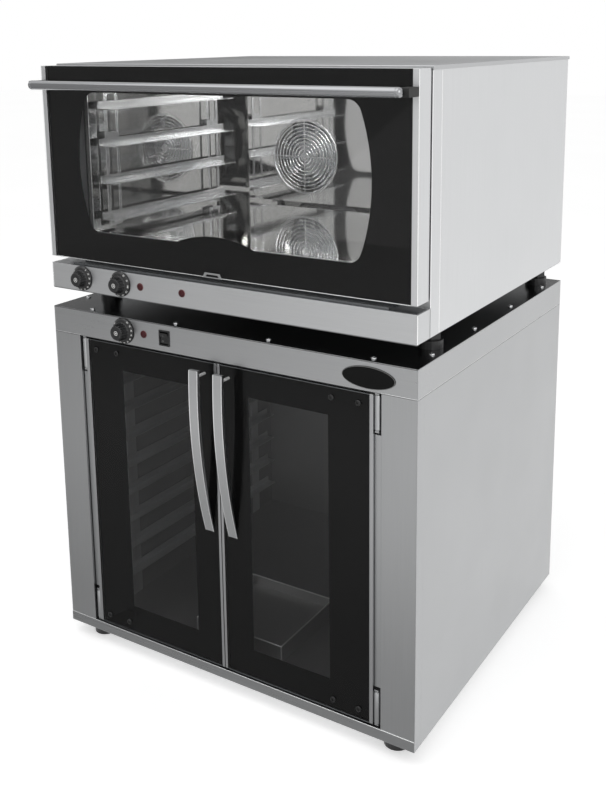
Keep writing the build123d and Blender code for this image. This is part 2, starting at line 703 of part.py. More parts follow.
def fan_motors():
    """Shaded-pole motors: a laminated stack and a coil, each on four posts off the rear wall."""
    motors = []
    front, rear = MOTOR_Y
    half, coil_half, post = MOTOR_W / 2, COIL_W / 2, MOTOR_POST / 2
    top, low = MOTOR_W / 2 + 6, MOTOR_W / 2 - 6
    for x in (-FAN_X, FAN_X):
        stack = block((x - half, x + half), (front, rear - BELL_T), (FAN_Z - low, FAN_Z + top))
        coil = block((x - coil_half, x + coil_half), (front - 8, rear - 4),
                     (FAN_Z - low - COIL_H, FAN_Z - low))
        bell = block((x - coil_half, x + coil_half), (rear - BELL_T, rear),
                     (FAN_Z - coil_half, FAN_Z + coil_half))
        posts = [block((px - post, px + post), (CAVITY_REAR + SHEET, front), (pz - post, pz + post))
                 for px in (x - half + 6, x + half - 6) for pz in (FAN_Z - low + 6, FAN_Z + top - 6)]
        bore = rod((x, front - 1, FAN_Z), (x, front + SHAFT_IN + 2, FAN_Z), SHAFT_R + RUNNING)
        motors.append(stack.fuse(coil, bell, *posts) - bore)
    return motors


# Knobs, lamps, switch and what sits behind them


def knob(place, skirt, grip, depth):
    """A moulded knob: a flat skirt for the scale, a grip with 24 flats, and its spindle."""
    x, z = place
    plate = along_y(Pos(x, z) * RegularPolygon(skirt, 28), -KNOB_LIFT - SKIRT_T, -KNOB_LIFT)
    body = along_y(Pos(x, z) * RegularPolygon(grip, 24), -depth, -KNOB_LIFT - SKIRT_T)
    body = chamfer(body.edges().group_by(Axis.Y)[0], KNOB_BEVEL)
    return plate.fuse(body, rod((x, -KNOB_LIFT, z), (x, SPINDLE_END, z), SPINDLE_R))


def control_body(place, width, height, rear):
    """A timer or thermostat body on the panel's back, with the bore for its spindle."""
    x, z = place
    body = block((x - width / 2, x + width / 2), (SHEET, rear), (z - height / 2, z + height / 2))
    return body - rod((x, 0, z), (x, SPINDLE_END + 1, z), SPINDLE_R + RUNNING)


def lamp(place):
    """A flat round lens on the sheet."""
    return along_y(Pos(*place) * round_face(LAMP_R), -LAMP_T, 0)


def switch_body():
    """The switch's bezel and box, with the pocket of its rocker."""
    x, z = SWITCH_C
    wide, tall, rim = SWITCH_W / 2, SWITCH_H / 2, SHEET
    bezel = block((x - wide, x + wide), (-BEZEL_T, 0), (z - tall, z + tall))
    box = block((x - wide + rim, x + wide - rim), (0, SWITCH_D), (z - tall + rim, z + tall - rim))
    reach, deep = ROCKER_HALF + SEAT, ROCKER_Y + ROCKER_ROOT + 4.5
    pocket = block((x - reach, x + reach), (-BEZEL_T - 1, deep), (z - tall + rim + 1, z + tall - rim - 1))
    return bezel.fuse(box) - pocket


def switch_rocker():
    """The rocker: a shallow V face on a wedge that tilts in the pocket."""
    x, z = SWITCH_C
    reach, root = SWITCH_H / 2 - 4.9, ROCKER_Y + ROCKER_ROOT
    wing = outline((-4.6, z + reach), (-0.4, z), (-1.0, z - reach), (2.4, z - reach), (root, z - 4),
                   (root, z + 4), (-1.2, z + reach))
    return along_x(wing, x - ROCKER_HALF, x + ROCKER_HALF)


# Cabinet doors. The right one is drawn and the left one is its mirror image.


def cabinet_door_frame():
    """Two hollow stiles with a nose that shows beside the glass, and two hollow rails behind it."""
    back, wall, low, high = GLASS_T + PRINT_T, DOOR_WALL, DOOR_BOTTOM, DOOR_TOP
    inner, outer = DOOR_SLIT, DOOR_EDGE
    hollow_y = (back + wall, DOOR_T - wall)

    def stile(edge, nose, inward):
        shape = outline((edge, 0), (edge + inward * nose, 0), (edge + inward * nose, back),
                        (edge + inward * STILE_W, back), (edge + inward * STILE_W, DOOR_T), (edge, DOOR_T))
        core = sorted((edge + inward * wall, edge + inward * (STILE_W - wall)))
        return along_z(shape, low, high) - block(core, hollow_y, (low - 1, high + 1))

    hinge_stile = stile(outer, STRIP_OUT, -1)
    for z in hinge_plate_heights():
        hinge_stile -= block((outer - STILE_W - 1, outer + 1), (back, back + PLATE_T), z)
    rails = []
    for z in ((low, low + RAIL_W), (high - RAIL_W, high)):
        rail = block((inner + STILE_W, outer - STILE_W), (back, DOOR_T), z)
        rails.append(rail - block((inner, outer), hollow_y, (z[0] + wall, z[1] - wall)))
    return [hinge_stile, stile(inner, STRIP_IN, 1), *rails]


def hinge_plate_heights():
    """The two bands of height taken by the hinge plates, between the rails."""
    low = DOOR_BOTTOM + RAIL_W
    high = DOOR_TOP - RAIL_W
    return ((low, low + PLATE_H), (high - PLATE_H, high))


def cabinet_door_pane(y):
    """The door's pane between the two frame noses."""
    return block((DOOR_SLIT + STRIP_IN, DOOR_EDGE - STRIP_OUT), y, (DOOR_BOTTOM, DOOR_TOP))


def cabinet_door_border():
    """The thin printed border on the pane's back, open at the window."""
    return cabinet_door_pane((GLASS_T, GLASS_T + PRINT_T)) - block(WINDOW_X, (0, DOOR_T), WINDOW_Z)


def cabinet_door_hinges():
    """A barrel on a plate at the top and at the bottom."""
    back = GLASS_T + PRINT_T
    pieces = []
    for plate_z, barrel_z in zip(hinge_plate_heights(), barrel_heights()):
        plate = block((HINGE_X - PLATE_LENGTH, HINGE_X), (back, back + PLATE_T), plate_z)
        barrel = along_z(Pos(HINGE_X, HINGE_BEHIND) * round_face(HINGE_R), *barrel_z)
        bore = rod((HINGE_X, HINGE_BEHIND, 0), (HINGE_X, HINGE_BEHIND, CAB_H), HINGE_PIN_R + RUNNING)
        pieces.append(plate.fuse(barrel) - bore)
    return pieces


def barrel_heights():
    """The heights of the lower and the upper hinge barrel."""
    low, high = DOOR_BOTTOM + 1, DOOR_TOP - 1
    return ((low, low + BARREL_H), (high - BARREL_H, high))


def hinge_brackets():
    """Fixed parts of the cabinet hinges: two ears and a pin on a plate at the back of the gap."""
    ear, pieces = EAR_H, []
    back, reach = POST_D - SHEET, HINGE_PIN_R + 1.5
    for low, high in barrel_heights():
        plate = block((HINGE_X - 4, HINGE_X + 8), (back, POST_D), (low - ear - SEAT, high + ear + SEAT))
        arms = [block((HINGE_X - reach, HINGE_X + reach), (HINGE_BEHIND - reach, back), (z, z + ear))
                for z in (low - ear - SEAT, high + SEAT)]
        pin = rod((HINGE_X, HINGE_BEHIND, low - ear), (HINGE_X, HINGE_BEHIND, high + ear), HINGE_PIN_R)
        pieces += both_sides(plate.fuse(*arms, pin))
    return pieces


def cabinet_door_handle():
    """A flat bar bowed away from the glass, on a thin rod at its top."""
    low, high = HANDLE_Z
    middle = (low + high) / 2
    out = HANDLE_STAND / 2 + HANDLE_BOW
    foot, head = low + HANDLE_T * 1.6, HANDLE_T - HANDLE_STAND
    front = ThreePointArc((0, low), (-out, middle), (-HANDLE_STAND, high))
    back = ThreePointArc((0, foot), (HANDLE_T - out, middle), (head, high))
    ends = [Line((0, low), (0, foot)), Line((-HANDLE_STAND, high), (head, high))]
    bar = along_x(make_face([front, back, *ends]), HANDLE_X - HANDLE_W / 2, HANDLE_X + HANDLE_W / 2)
    z = high - HANDLE_ROD_DROP
    stand = rod((HANDLE_X, -HANDLE_STAND, z), (HANDLE_X, 0, z), HANDLE_ROD_R)
    return [bar, stand - bar]


def door_magnets():
    """A magnet catch behind the free edge of each cabinet door."""
    x, high = (MAGNET_X, MAGNET_X + MAGNET_W), DOOR_TOP - 1
    return both_sides(block(x, (DOOR_T + SEAT, POST_D), (high - MAGNET_H, high)))


# Oven door


def oven_door_frame():
    """Hollow stiles that show beside the glass, hollow rails behind it, and a pin across each ear slot."""
    back, wall = GLASS_T + PRINT_T, OD_WALL
    stile_in, strip_in = OD_HALF - OD_STILE, OD_HALF - OD_STRIP
    slot = (EAR_X - EAR_T / 2 - 1.5, EAR_X + EAR_T / 2 + 1.5)
    stile = along_z(outline((OD_HALF, 0), (strip_in, 0), (strip_in, back), (stile_in, back),
                            (stile_in, OD_T), (OD_HALF, OD_T)), OD_BOTTOM, OD_TOP)
    stile -= block((stile_in + wall, OD_HALF - wall), (back + wall, OD_T - wall),
                   (OD_BOTTOM + OD_RAIL + 8, OD_TOP - wall))
    stile -= block(slot, (back, OD_T + 1), (OD_BOTTOM - 1, OD_BOTTOM + OD_RAIL))
    pin_z = OD_BOTTOM + OD_HINGE_RISE
    stile = stile.fuse(rod((slot[0] - 1, OD_HINGE_Y, pin_z), (slot[1] + 1, OD_HINGE_Y, pin_z), EAR_PIN_R))
    rails = []
    for low, high in ((OD_BOTTOM, OD_BOTTOM + OD_RAIL), (OD_TOP - OD_RAIL, OD_TOP)):
        width = (-stile_in, stile_in)
        core = block(width, (back + wall, OD_T - wall), (low + wall, high - wall))
        rails.append(block(width, (back, OD_T), (low, high)) - core)
    return [*both_sides(stile), *rails]


def oven_door_pane(y):
    """The outer pane between the door's two bright strips."""
    half = OD_HALF - OD_STRIP
    return block((-half, half), y, (OD_BOTTOM, OD_TOP))


def oven_door_window():
    """The window: straight top and bottom, sides that bulge, round corners and a low arch at the foot."""
    low, high = OD_WINDOW_Z
    mid, end, bump = (low + high) / 2, OD_WINDOW_MID - OD_WINDOW_BULGE, OD_BUMP_W / 2
    frame = make_face([
        Line((-end, low), (end, low)), ThreePointArc((end, low), (OD_WINDOW_MID, mid), (end, high)),
        Line((end, high), (-end, high)), ThreePointArc((-end, high), (-OD_WINDOW_MID, mid), (-end, low))])
    frame = fillet(frame.vertices(), OD_WINDOW_R)
    crown = ThreePointArc((bump, low), (0, low + OD_BUMP_H), (-bump, low))
    arch = make_face([Line((-bump, low), (bump, low)), crown])
    return frame - arch


def oven_door_border():
    """The printed border on the outer pane's back, open at the window."""
    return oven_door_pane((GLASS_T, GLASS_T + PRINT_T)) - along_y(oven_door_window(), 0, OD_T)


def oven_door_inner_glass():
    """The inner pane, set in the frame flush with the door's back."""
    half = OD_HALF - OD_STILE
    return block((-half, half), (OD_T - OD_INNER_T, OD_T), (OD_BOTTOM + OD_RAIL, OD_TOP - OD_RAIL))


def oven_door_handle():
    """A round bar with bevelled ends."""
    bar = rod((-BAR_HALF, -BAR_STAND, BAR_Z), (BAR_HALF, -BAR_STAND, BAR_Z), BAR_R)
    return chamfer(bar.edges(), BAR_R * 0.45)


def oven_door_handle_blocks():
    """The two end blocks between the bar and the door's bright strips."""
    outer = OD_HALF - BLOCK_IN
    front = -BAR_STAND + BLOCK_BACK
    stand = block((outer - BLOCK_W, outer), (front, 0), (BAR_Z - BLOCK_H / 2, BAR_Z + BLOCK_H / 2))
    return both_sides(stand - rod((0, -BAR_STAND, BAR_Z), (BAR_HALF, -BAR_STAND, BAR_Z), BAR_R))


def oven_door_clip():
    """A small bent clip on the middle of the door's lower edge."""
    low, wide, narrow, rim = OD_BOTTOM - 0.8, CLIP_W / 2, CLIP_TOP_W / 2, 1.5
    high = low + CLIP_H
    outer = outline((-wide, low), (wide, low), (narrow, high), (-narrow, high))
    foot, head = wide - 4 * rim, narrow - 3 * rim
    inner = outline((-foot, low + rim), (foot, low + rim), (head, high - 2 * rim), (-head, high - 2 * rim))
    return along_y(Pos(CLIP_X, 0) * (outer - inner), -CLIP_T, 0)


def door_ears():
    """The two ears on the front frame that the door's pins turn in."""
    z, half, reach = OD_BOTTOM + OD_HINGE_RISE, EAR_T / 2, EAR_T / 2 + EAR_FOOT
    arm = block((EAR_X - half, EAR_X + half), (OD_HINGE_Y - EAR_R, BODY_FRONT), (z - EAR_R, z + EAR_R))
    foot = block((EAR_X - reach, EAR_X + reach), (BODY_FRONT - EAR_FOOT_T, BODY_FRONT),
                 (z - EAR_R - EAR_FOOT, z + EAR_R + EAR_FOOT / 2))
    bore = rod((EAR_X - EAR_T, OD_HINGE_Y, z), (EAR_X + EAR_T, OD_HINGE_Y, z), EAR_PIN_R + RUNNING)
    return both_sides(arm.fuse(foot) - bore)


# Write every node

cab_vents = slots(VENT_X, VENT_RISE, CAB_D)
oven_vents = slots(0, OVEN_Z + OVEN_VENT_RISE, OVEN_D) + slots(0, OVEN_TOP - OVEN_VENT_DROP, OVEN_D)

write("cabinet_base", cabinet_base())
write("cabinet_feet", *cabinet_feet())
write("cabinet_side_panels", *both_sides(folded_side(CAB_W / 2, POST_D, CAB_D - SHEET, 0, SEAM_Z)))
write("cabinet_back", back_panel(
    CAB_W / 2, CAB_D, 0, CAB_H - SHEET, cab_vents + [gland_hole(CAB_GLAND, CAB_D)]))
write("cabinet_front_posts", *both_sides(front_post()))
write("cabinet_fascia", cabinet_fascia())
write("cabinet_top", block((-CAB_W / 2, CAB_W / 2), (0, CAB_D), (CAB_H - SHEET, CAB_H)))
write("cabinet_liner", *cabinet_liner())
write("cabinet_tray_runners", *tray_runners())
write("water_pan", water_pan())
write("pan_heater", pan_heater())
write("cabinet_seal", *seals(CHAMBER_HALF, CHAMBER_FLOOR, CHAMBER_CEILING, POST_D, DOOR_T))
write("door_magnets", *door_magnets())
write("cabinet_hinge_brackets", *hinge_brackets())
write("thermostat_bodies", control_body(KNOB_C, *THERMOSTAT), control_body(HEAT_C, *THERMOSTAT))
write("oven_timer_body", control_body(TIMER_C, *TIMER_BODY))
write("indicator_lamps", *[lamp(place) for place in (LAMP_C, *OVEN_LAMPS)])
write("switch_body", switch_body())
write("cable_glands", cable_gland(CAB_GLAND, CAB_D), cable_gland(OVEN_GLAND, OVEN_D))

write("oven_base", oven_base())
write("oven_feet", *oven_feet())
write("oven_side_panels", *both_sides(
    folded_side(OVEN_W / 2, BODY_FRONT + FRAME_WRAP, OVEN_D - SHEET, OVEN_Z + SHEET, COVER_Z)))
write("oven_back", back_panel(
    OVEN_W / 2, OVEN_D, OVEN_Z + SHEET, COVER_Z, oven_vents + [gland_hole(OVEN_GLAND, OVEN_D)]))
write("oven_top", oven_top())
write("oven_front_frame", *oven_front_frame())
write("control_panel", control_panel())
write("drip_gutter", drip_gutter())
write("oven_cavity", *oven_cavity())
write("oven_insulation", *insulation())
write("cavity_seal", *seals(CAVITY_HALF, CAVITY_FLOOR, CAVITY_CEILING, BODY_FRONT, OD_T))
write("tray_racks", *tray_racks())
write("fan_baffle", fan_baffle())
write("heater_rings", *heater_rings())
write("fan_motors", *fan_motors())
write("oven_door_ears", *door_ears())

write("fan_left", fan(-FAN_X))
write("fan_right", fan(FAN_X))
write("timer_knob", knob(TIMER_C, *OVEN_KNOB))
write("oven_thermostat_knob", knob(HEAT_C, *OVEN_KNOB))
write("cabinet_thermostat_knob", knob(KNOB_C, *CAB_KNOB))
write("switch_rocker", switch_rocker())

write("oven_door_frame", *oven_door_frame())
write("oven_door_outer_glass", oven_door_pane((0, GLASS_T)))
write("oven_door_border", oven_door_border())
write("oven_door_inner_glass", oven_door_inner_glass())
write("oven_door_handle", oven_door_handle())
write("oven_door_handle_blocks", *oven_door_handle_blocks())
write("oven_door_clip", oven_door_clip())

door_pieces = {
    "frame": cabinet_door_frame(),
    "glass": [cabinet_door_pane((0, GLASS_T))],
    "border": [cabinet_door_border()],
    "hinges": cabinet_door_hinges(),
    "handle": cabinet_door_handle(),
}
for name, pieces in door_pieces.items():
    write(f"right_door_{name}", *pieces)
    write(f"left_door_{name}", *[mirror(piece, about=Plane.YZ) for piece in pieces])
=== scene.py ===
# %% [markdown]
# # A convection oven on its proving cabinet
# This notebook dresses a finished CAD model of a two-part bakery unit: a small
# convection oven with a glass drop-down door stands on a proving cabinet with
# two glass doors. The CAD gives every main shape and every moving body. Here
# the metal gets its brushing, the glass its depth, and the small hardware that
# CAD leaves out (screws, dial marks, lamp lenses, a blank badge) is modelled.

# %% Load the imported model
from math import atan2, cos, pi, radians, sin, tau

import bmesh
import bpy
from mathutils import Matrix, Vector


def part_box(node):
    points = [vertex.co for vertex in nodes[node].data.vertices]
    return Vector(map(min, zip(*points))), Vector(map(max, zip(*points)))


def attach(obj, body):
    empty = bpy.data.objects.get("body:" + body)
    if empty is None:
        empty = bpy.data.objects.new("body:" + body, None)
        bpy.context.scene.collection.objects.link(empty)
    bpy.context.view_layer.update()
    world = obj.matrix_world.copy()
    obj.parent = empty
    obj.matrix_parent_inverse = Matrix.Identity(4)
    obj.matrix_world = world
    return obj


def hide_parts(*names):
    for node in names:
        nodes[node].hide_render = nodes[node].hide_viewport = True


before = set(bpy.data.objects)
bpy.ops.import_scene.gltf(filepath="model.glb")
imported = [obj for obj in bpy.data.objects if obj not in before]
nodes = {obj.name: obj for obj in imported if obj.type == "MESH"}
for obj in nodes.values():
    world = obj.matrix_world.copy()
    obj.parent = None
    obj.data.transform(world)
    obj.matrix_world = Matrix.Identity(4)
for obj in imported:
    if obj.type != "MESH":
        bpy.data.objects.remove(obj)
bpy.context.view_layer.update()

MM = 0.001

# %% [markdown]
# ## Camera
# The unit is seen from its front right corner, a little above the middle of
# the oven. The lens sits level with the upper part, and the picture is slid
# down over it, as a studio photographer does with a shift lens, so upright
# edges stay upright. That slide is the camera's shift.

# %% Camera at the studio's place
IMAGE_WIDE, IMAGE_HIGH = 606, 800
FOCAL_PX = 1020.8
LENS_COLUMN, LENS_ROW = 306.3, 240.0
EYE = Vector((1.11943, -1.80275, 1.28495))
YAW, PITCH, ROLL = 0.5616, 0.1967, -0.0116

ahead = Vector((-sin(YAW) * cos(PITCH), cos(YAW) * cos(PITCH), -sin(PITCH)))
level_right = Vector((cos(YAW), sin(YAW), 0.0))
level_up = level_right.cross(ahead)
right = cos(ROLL) * level_right + sin(ROLL) * level_up
up = -sin(ROLL) * level_right + cos(ROLL) * level_up

camera_data = bpy.data.cameras.new("studio_camera")
camera_data.sensor_width = 36.0
camera_data.lens = FOCAL_PX / IMAGE_HIGH * camera_data.sensor_width
camera_data.shift_x = (IMAGE_WIDE / 2 - LENS_COLUMN) / IMAGE_HIGH
camera_data.shift_y = (LENS_ROW - IMAGE_HIGH / 2) / IMAGE_HIGH
camera_data.clip_end = 60.0
camera = bpy.data.objects.new("studio_camera", camera_data)
bpy.context.scene.collection.objects.link(camera)
camera.matrix_world = Matrix.Translation(EYE) @ Matrix((right, up, -ahead)).transposed().to_4x4()
bpy.context.scene.camera = camera
bpy.context.scene.view_settings.view_transform = "Standard"
print("lens", round(camera_data.lens, 1), "mm, shift", camera_data.shift_y)

# %% [markdown]
# ## Colours and shader nodes
# Paint charts and photo editors give colours as screen codes, while a shader
# wants linear light, so one function converts them. Another adds one node,
# with its settings and its links in one go. Every material below is written
# with it and with a few short ones that stand for the nodes used most.

# %% Helpers for materials
def linear(code):
    """Turns a screen colour such as '#c8ccd0' into linear red, green, blue, alpha."""
    parts = [int(code[i : i + 2], 16) / 255 for i in (1, 3, 5)]
    return tuple(p / 12.92 if p <= 0.04045 else ((p + 0.055) / 1.055) ** 2.4 for p in parts) + (1.0,)


def add(tree, kind, inputs=None, **settings):
    """Adds a node. settings are its switches; inputs maps a socket to a value, a socket or a node's first output."""
    node = tree.nodes.new(kind)
    for name, value in settings.items():
        setattr(node, name, value)
    for socket, value in (inputs or {}).items():
        source = value.outputs[0] if isinstance(value, bpy.types.Node) else value
        if isinstance(source, bpy.types.NodeSocket):
            tree.links.new(source, node.inputs[socket])
        else:
            node.inputs[socket].default_value = value
    return node


def maths(tree, operation, one, two):
    """One operation on two values."""
    return add(tree, "ShaderNodeMath", {0: one, 1: two}, operation=operation)


def spread(tree, value, span, onto, **settings):
    """Maps a value from one span onto another."""
    return add(tree, "ShaderNodeMapRange", {"Value": value, "From Min": span[0], "From Max": span[1],
               "To Min": onto[0], "To Max": onto[1]}, **settings)


def object_place(tree):
    """Where a point lies on its object, in metres."""
    return add(tree, "ShaderNodeTexCoord").outputs["Object"]


def noise(tree, place, scale, detail=2.0):
    """A cloudy pattern, scale clouds to the metre."""
    return add(tree, "ShaderNodeTexNoise", {"Vector": place, "Scale": scale, "Detail": detail})


def blank_material(name):
    """An empty material and its node tree."""
    material = bpy.data.materials.new(name)
    material.use_nodes = True
    material.node_tree.nodes.clear()
    return material, material.node_tree


def finished(material, shader):
    """Sends a shader to the material's output."""
    add(material.node_tree, "ShaderNodeOutputMaterial", {"Surface": shader})
    return material


WHITE = linear("#ffffff")
print("screen #808080 is", round(linear("#808080")[0], 3), "in linear light")

# %% [markdown]
# ## Brushed stainless steel
# Nearly every panel is thin stainless sheet with a brushed grain. Under a soft
# light the grain shows as faint streaks and, above all, as a blurred mirror. A
# noise pattern stretched along the grain drives tone, gloss and a very shallow
# bump together, and a broad one varies the gloss. A Bevel node rounds the
# light on sheet edges the way a real bend does.

# %% Brushed metal
def brushed_metal(name, code, grain, roughness, across_mm=2.5, along_mm=160.0, swing=0.07, bend_mm=1.2, depth=0.25):
    """Brushed sheet: grain is the axis of the strokes, across_mm their pitch, bend_mm the edge radius."""
    material, tree = blank_material(name)
    place = object_place(tree)
    scale = [1 / (across_mm * MM)] * 3
    scale["xyz".index(grain)] = 1 / (along_mm * MM)
    strokes = noise(tree, add(tree, "ShaderNodeMapping", {"Vector": place, "Scale": scale}), 1.0, 3.0)
    clouds = noise(tree, place, 6.0)
    tone = linear(code)
    darker = tuple(c * 0.93 for c in tone[:3]) + (1.0,)
    lighter = tuple(min(1.0, c * 1.05) for c in tone[:3]) + (1.0,)
    colour = add(tree, "ShaderNodeMixRGB", {"Fac": strokes, "Color1": darker, "Color2": lighter})
    gloss = spread(tree, strokes, (0.3, 0.7), (roughness - swing / 2, roughness + swing / 2))
    worn = spread(tree, clouds, (0.3, 0.7), (-swing / 2, swing / 2))
    relief = {"Strength": depth, "Distance": 0.05 * MM, "Height": strokes}
    if bend_mm:
        relief["Normal"] = add(tree, "ShaderNodeBevel", {"Radius": bend_mm * MM}, samples=4)
    return finished(material, add(tree, "ShaderNodeBsdfPrincipled", {
        "Base Color": colour, "Metallic": 1.0, "Roughness": maths(tree, "ADD", gloss, worn),
        "Normal": add(tree, "ShaderNodeBump", relief)}))


# satin sheet, grain upright, along the front and along the sides
steel_upright = brushed_metal("Stainless sheet brushed upright", "#b1b2b3", "z", 0.34)
steel_across = brushed_metal("Stainless sheet brushed across", "#b1b2b3", "x", 0.32)
# the oven's skins are a paler, more matt sheet than the cabinet's
steel_pale_upright = brushed_metal("Stainless sheet glass beaded upright", "#d4d5d6", "z", 0.4)
steel_pale_across = brushed_metal("Stainless sheet glass beaded across", "#cbcccd", "x", 0.36)
# the oven's cover, a shade darker than its sides: painted shade, as its top, seen flat, takes less light
steel_cover_shaded = brushed_metal("Stainless cover brushed across painted shade", "#babbbc", "x", 0.34)
# smoother sheet for the cabinet's top plate, which mirrors the oven's dark underside
steel_mirror = brushed_metal("Stainless sheet bright annealed", "#9b9c9d", "x", 0.2, swing=0.03)
# the oven's tray underneath, grey zinc darkened as painted shade of the gap above the cabinet, which the plate below
# mirrors as a dark band
zinc_painted_shade = brushed_metal("Steel tray galvanised with painted shade", "#7e7f80", "x", 0.6, across_mm=3.0, along_mm=3.0)
# lining sheets of both chambers, bright rolled, so they mirror each other
steel_lining = brushed_metal(
    "Stainless lining bright rolled", "#cdcdcc", "z", 0.05, swing=0.02, bend_mm=0, depth=0.03)
# the cabinet's lining is plain mill sheet, duller than the oven's
steel_liner = brushed_metal("Stainless liner mill finish", "#b0b0b0", "y", 0.5, across_mm=6.0)
# its tray runners, rubbed paler by the trays
steel_runner = brushed_metal("Stainless runner rubbed", "#e2e3e4", "y", 0.45, across_mm=2.0, bend_mm=0.8)
# folded and ground edges: a paler, smoother steel than the sheet, a painted highlight for the fine line of light
# along a bend
steel_painted_highlight = brushed_metal(
    "Stainless edge painted highlight", "#f6f7f7", "z", 0.14, swing=0.02, bend_mm=0, depth=0.03)
# the base rail, darker where the floor shades it
steel_rail = brushed_metal("Stainless rail brushed along", "#a6a7a8", "x", 0.3)
# satin bars of the doors' handles
steel_bar = brushed_metal(
    "Stainless flat bar satin ground", "#c0c1c2", "z", 0.3, across_mm=1.8, swing=0.03, bend_mm=0, depth=0.02)
# blasted studs behind those bars, matt enough to take light from all round; their pale tone is partly a painted
# highlight, and the pan's bright rim takes the same steel as a painted highlight
steel_blasted_painted_highlight = brushed_metal("Stainless blasted with painted highlight", "#e2e2e2", "y", 0.65, across_mm=1.5, swing=0.04, bend_mm=0)
# fine rods
steel_wire = brushed_metal("Stainless rod drawn", "#c4c5c6", "y", 0.22, swing=0.04, bend_mm=0.8)
# a darker steel: on the gutter strip under the oven door partly heat tint and partly painted shade of the gap, on
# the trims of the cabinet's doors painted shade along their edges
steel_heat_tint_and_shade = brushed_metal("Stainless strip heat tint and painted shade", "#6c6e70", "x", 0.2, swing=0.04)
# anodised door profiles, finer and more even than sheet
aluminium_satin = brushed_metal("Aluminium profile satin anodised", "#b3b4b5", "z", 0.3, across_mm=1.6, swing=0.03)
# polished bar
bar_polished = brushed_metal("Steel bar polished and chromed", "#9b9c9e", "x", 0.16, swing=0.03, depth=0.05)
# screw heads, small and bright
screw_bright = brushed_metal("Screw head zinc plated", "#d5d6d7", "x", 0.25, across_mm=2.0, along_mm=2.0, depth=0.05)
# cast fan wheel, motor housing and heater
wheel_cast = brushed_metal("Aluminium fan wheel die cast", "#a9abad", "y", 0.5, across_mm=3.0, along_mm=4.0)
motor_zinc = brushed_metal("Motor housing zinc plated", "#8e9193", "y", 0.45, across_mm=3.0, along_mm=5.0)
heater_scaled = brushed_metal("Heater tube oxidised by heat", "#5d5a57", "x", 0.5, across_mm=2.0, along_mm=9.0)
print("brushed metals:", len(bpy.data.materials))

# %% [markdown]
# ## Plastics, rubber and wool
# Knobs and feet are moulded black plastic: a fine spark-eroded grain and a soft
# sheen. The seals are matt silicone rubber. The wool between the skins of the
# oven is hardly ever seen, but a matted fibre tone keeps it honest.

# %% Moulded and matt materials
def moulded(name, code, roughness, grain_mm, depth, mottle=0.12, **more):
    """Moulded or matt stuff: grain_mm is the size of its surface grain, depth how strongly it shows."""
    material, tree = blank_material(name)
    place = object_place(tree)
    grit = noise(tree, place, 1 / (grain_mm * MM))
    cast = noise(tree, place, 40.0, 1.0)
    tone = linear(code)
    low, high = [tuple(min(1.0, c * k) for c in tone[:3]) + (1.0,) for k in (1 - mottle, 1 + mottle)]
    colour = add(tree, "ShaderNodeMixRGB", {"Fac": cast, "Color1": low, "Color2": high})
    gloss = spread(tree, grit, (0.3, 0.7), (roughness - 0.05, roughness + 0.05))
    edge = add(tree, "ShaderNodeBevel", {"Radius": 0.5 * MM}, samples=4)
    rough = add(tree, "ShaderNodeBump", {"Strength": depth, "Distance": 0.1 * MM, "Height": grit, "Normal": edge})
    return finished(material, add(tree, "ShaderNodeBsdfPrincipled", {
        "Base Color": colour, "Roughness": gloss, "Normal": rough, **more}))


# knobs, feet and switch, with the soft sheen of a hard dense plastic
plastic_black = moulded("Phenolic plastic moulded black", "#1b1b1c", 0.32, 1.2, 0.25)
# bolt heads are a smooth black, so each shows as one small glint
bolt_black = moulded("Bolt head blackened", "#0d0d0d", 0.22, 1.2, 0.1)
# the blocks of the oven's bar, matt and nearly without a highlight
nylon_black = moulded("Nylon moulded black", "#0b0b0b", 0.55, 1.2, 0.15)
# bodies of the timer and the thermostats, a dull technical grey
plastic_grey = moulded("Nylon moulded dark grey", "#3a3b3c", 0.45, 1.2, 0.3)
# seals swallow the light, which makes a gap read as a dark line
rubber_black = moulded("Silicone rubber extruded black", "#232323", 0.6, 1.5, 0.3)
# felted fibres are blotchy and quite without shine
wool_mineral = moulded("Mineral wool felted", "#8d8672", 0.95, 3.0, 1.0, mottle=0.3)
# the pane in front of the enamel brings the shine, so the enamel is only black
print_black = moulded("Enamel fired black behind glass", "#131313", 0.6, 2.0, 0.02, **{"Specular IOR Level": 0.1})
# flat inks, even in tone; the grey one also paints the highlight round the badge's rim
print_white = moulded("Numeral ink printed white", "#e6e6e4", 0.5, 1.0, 0.1, mottle=0.03)
print_grey_and_rim_highlight = moulded("Grey ink and painted rim highlight", "#8e8e8d", 0.5, 1.0, 0.1, mottle=0.03)
# lamps that are off: a deep red lens in a paler collar
lens_red = moulded("Lamp lens moulded dark red", "#43070f", 0.3, 2.0, 0.05, **{"Specular IOR Level": 0.3})
collar_red = moulded("Lamp collar moulded red", "#6d3a3c", 0.35, 2.0, 0.05)
print("materials so far:", len(bpy.data.materials))

# %% [markdown]
# ## Glass
# A pane is mostly a window and partly a mirror, more of a mirror the flatter
# one looks along it. A Fresnel factor mixes a clear shader, whose tint darkens
# what lies behind, with a nearly sharp mirror that carries the reflection. Light
# passes through the clear part, so the chambers behind are lit through the
# doors. The Fresnel node turns its index over on a back face, where it would
# give a full mirror at flat angles; a ray runs straight through this thin pane,
# so the index is turned over once more there, and both faces mirror alike. The
# cabinet's panes are smoked, the oven's are nearly clear.

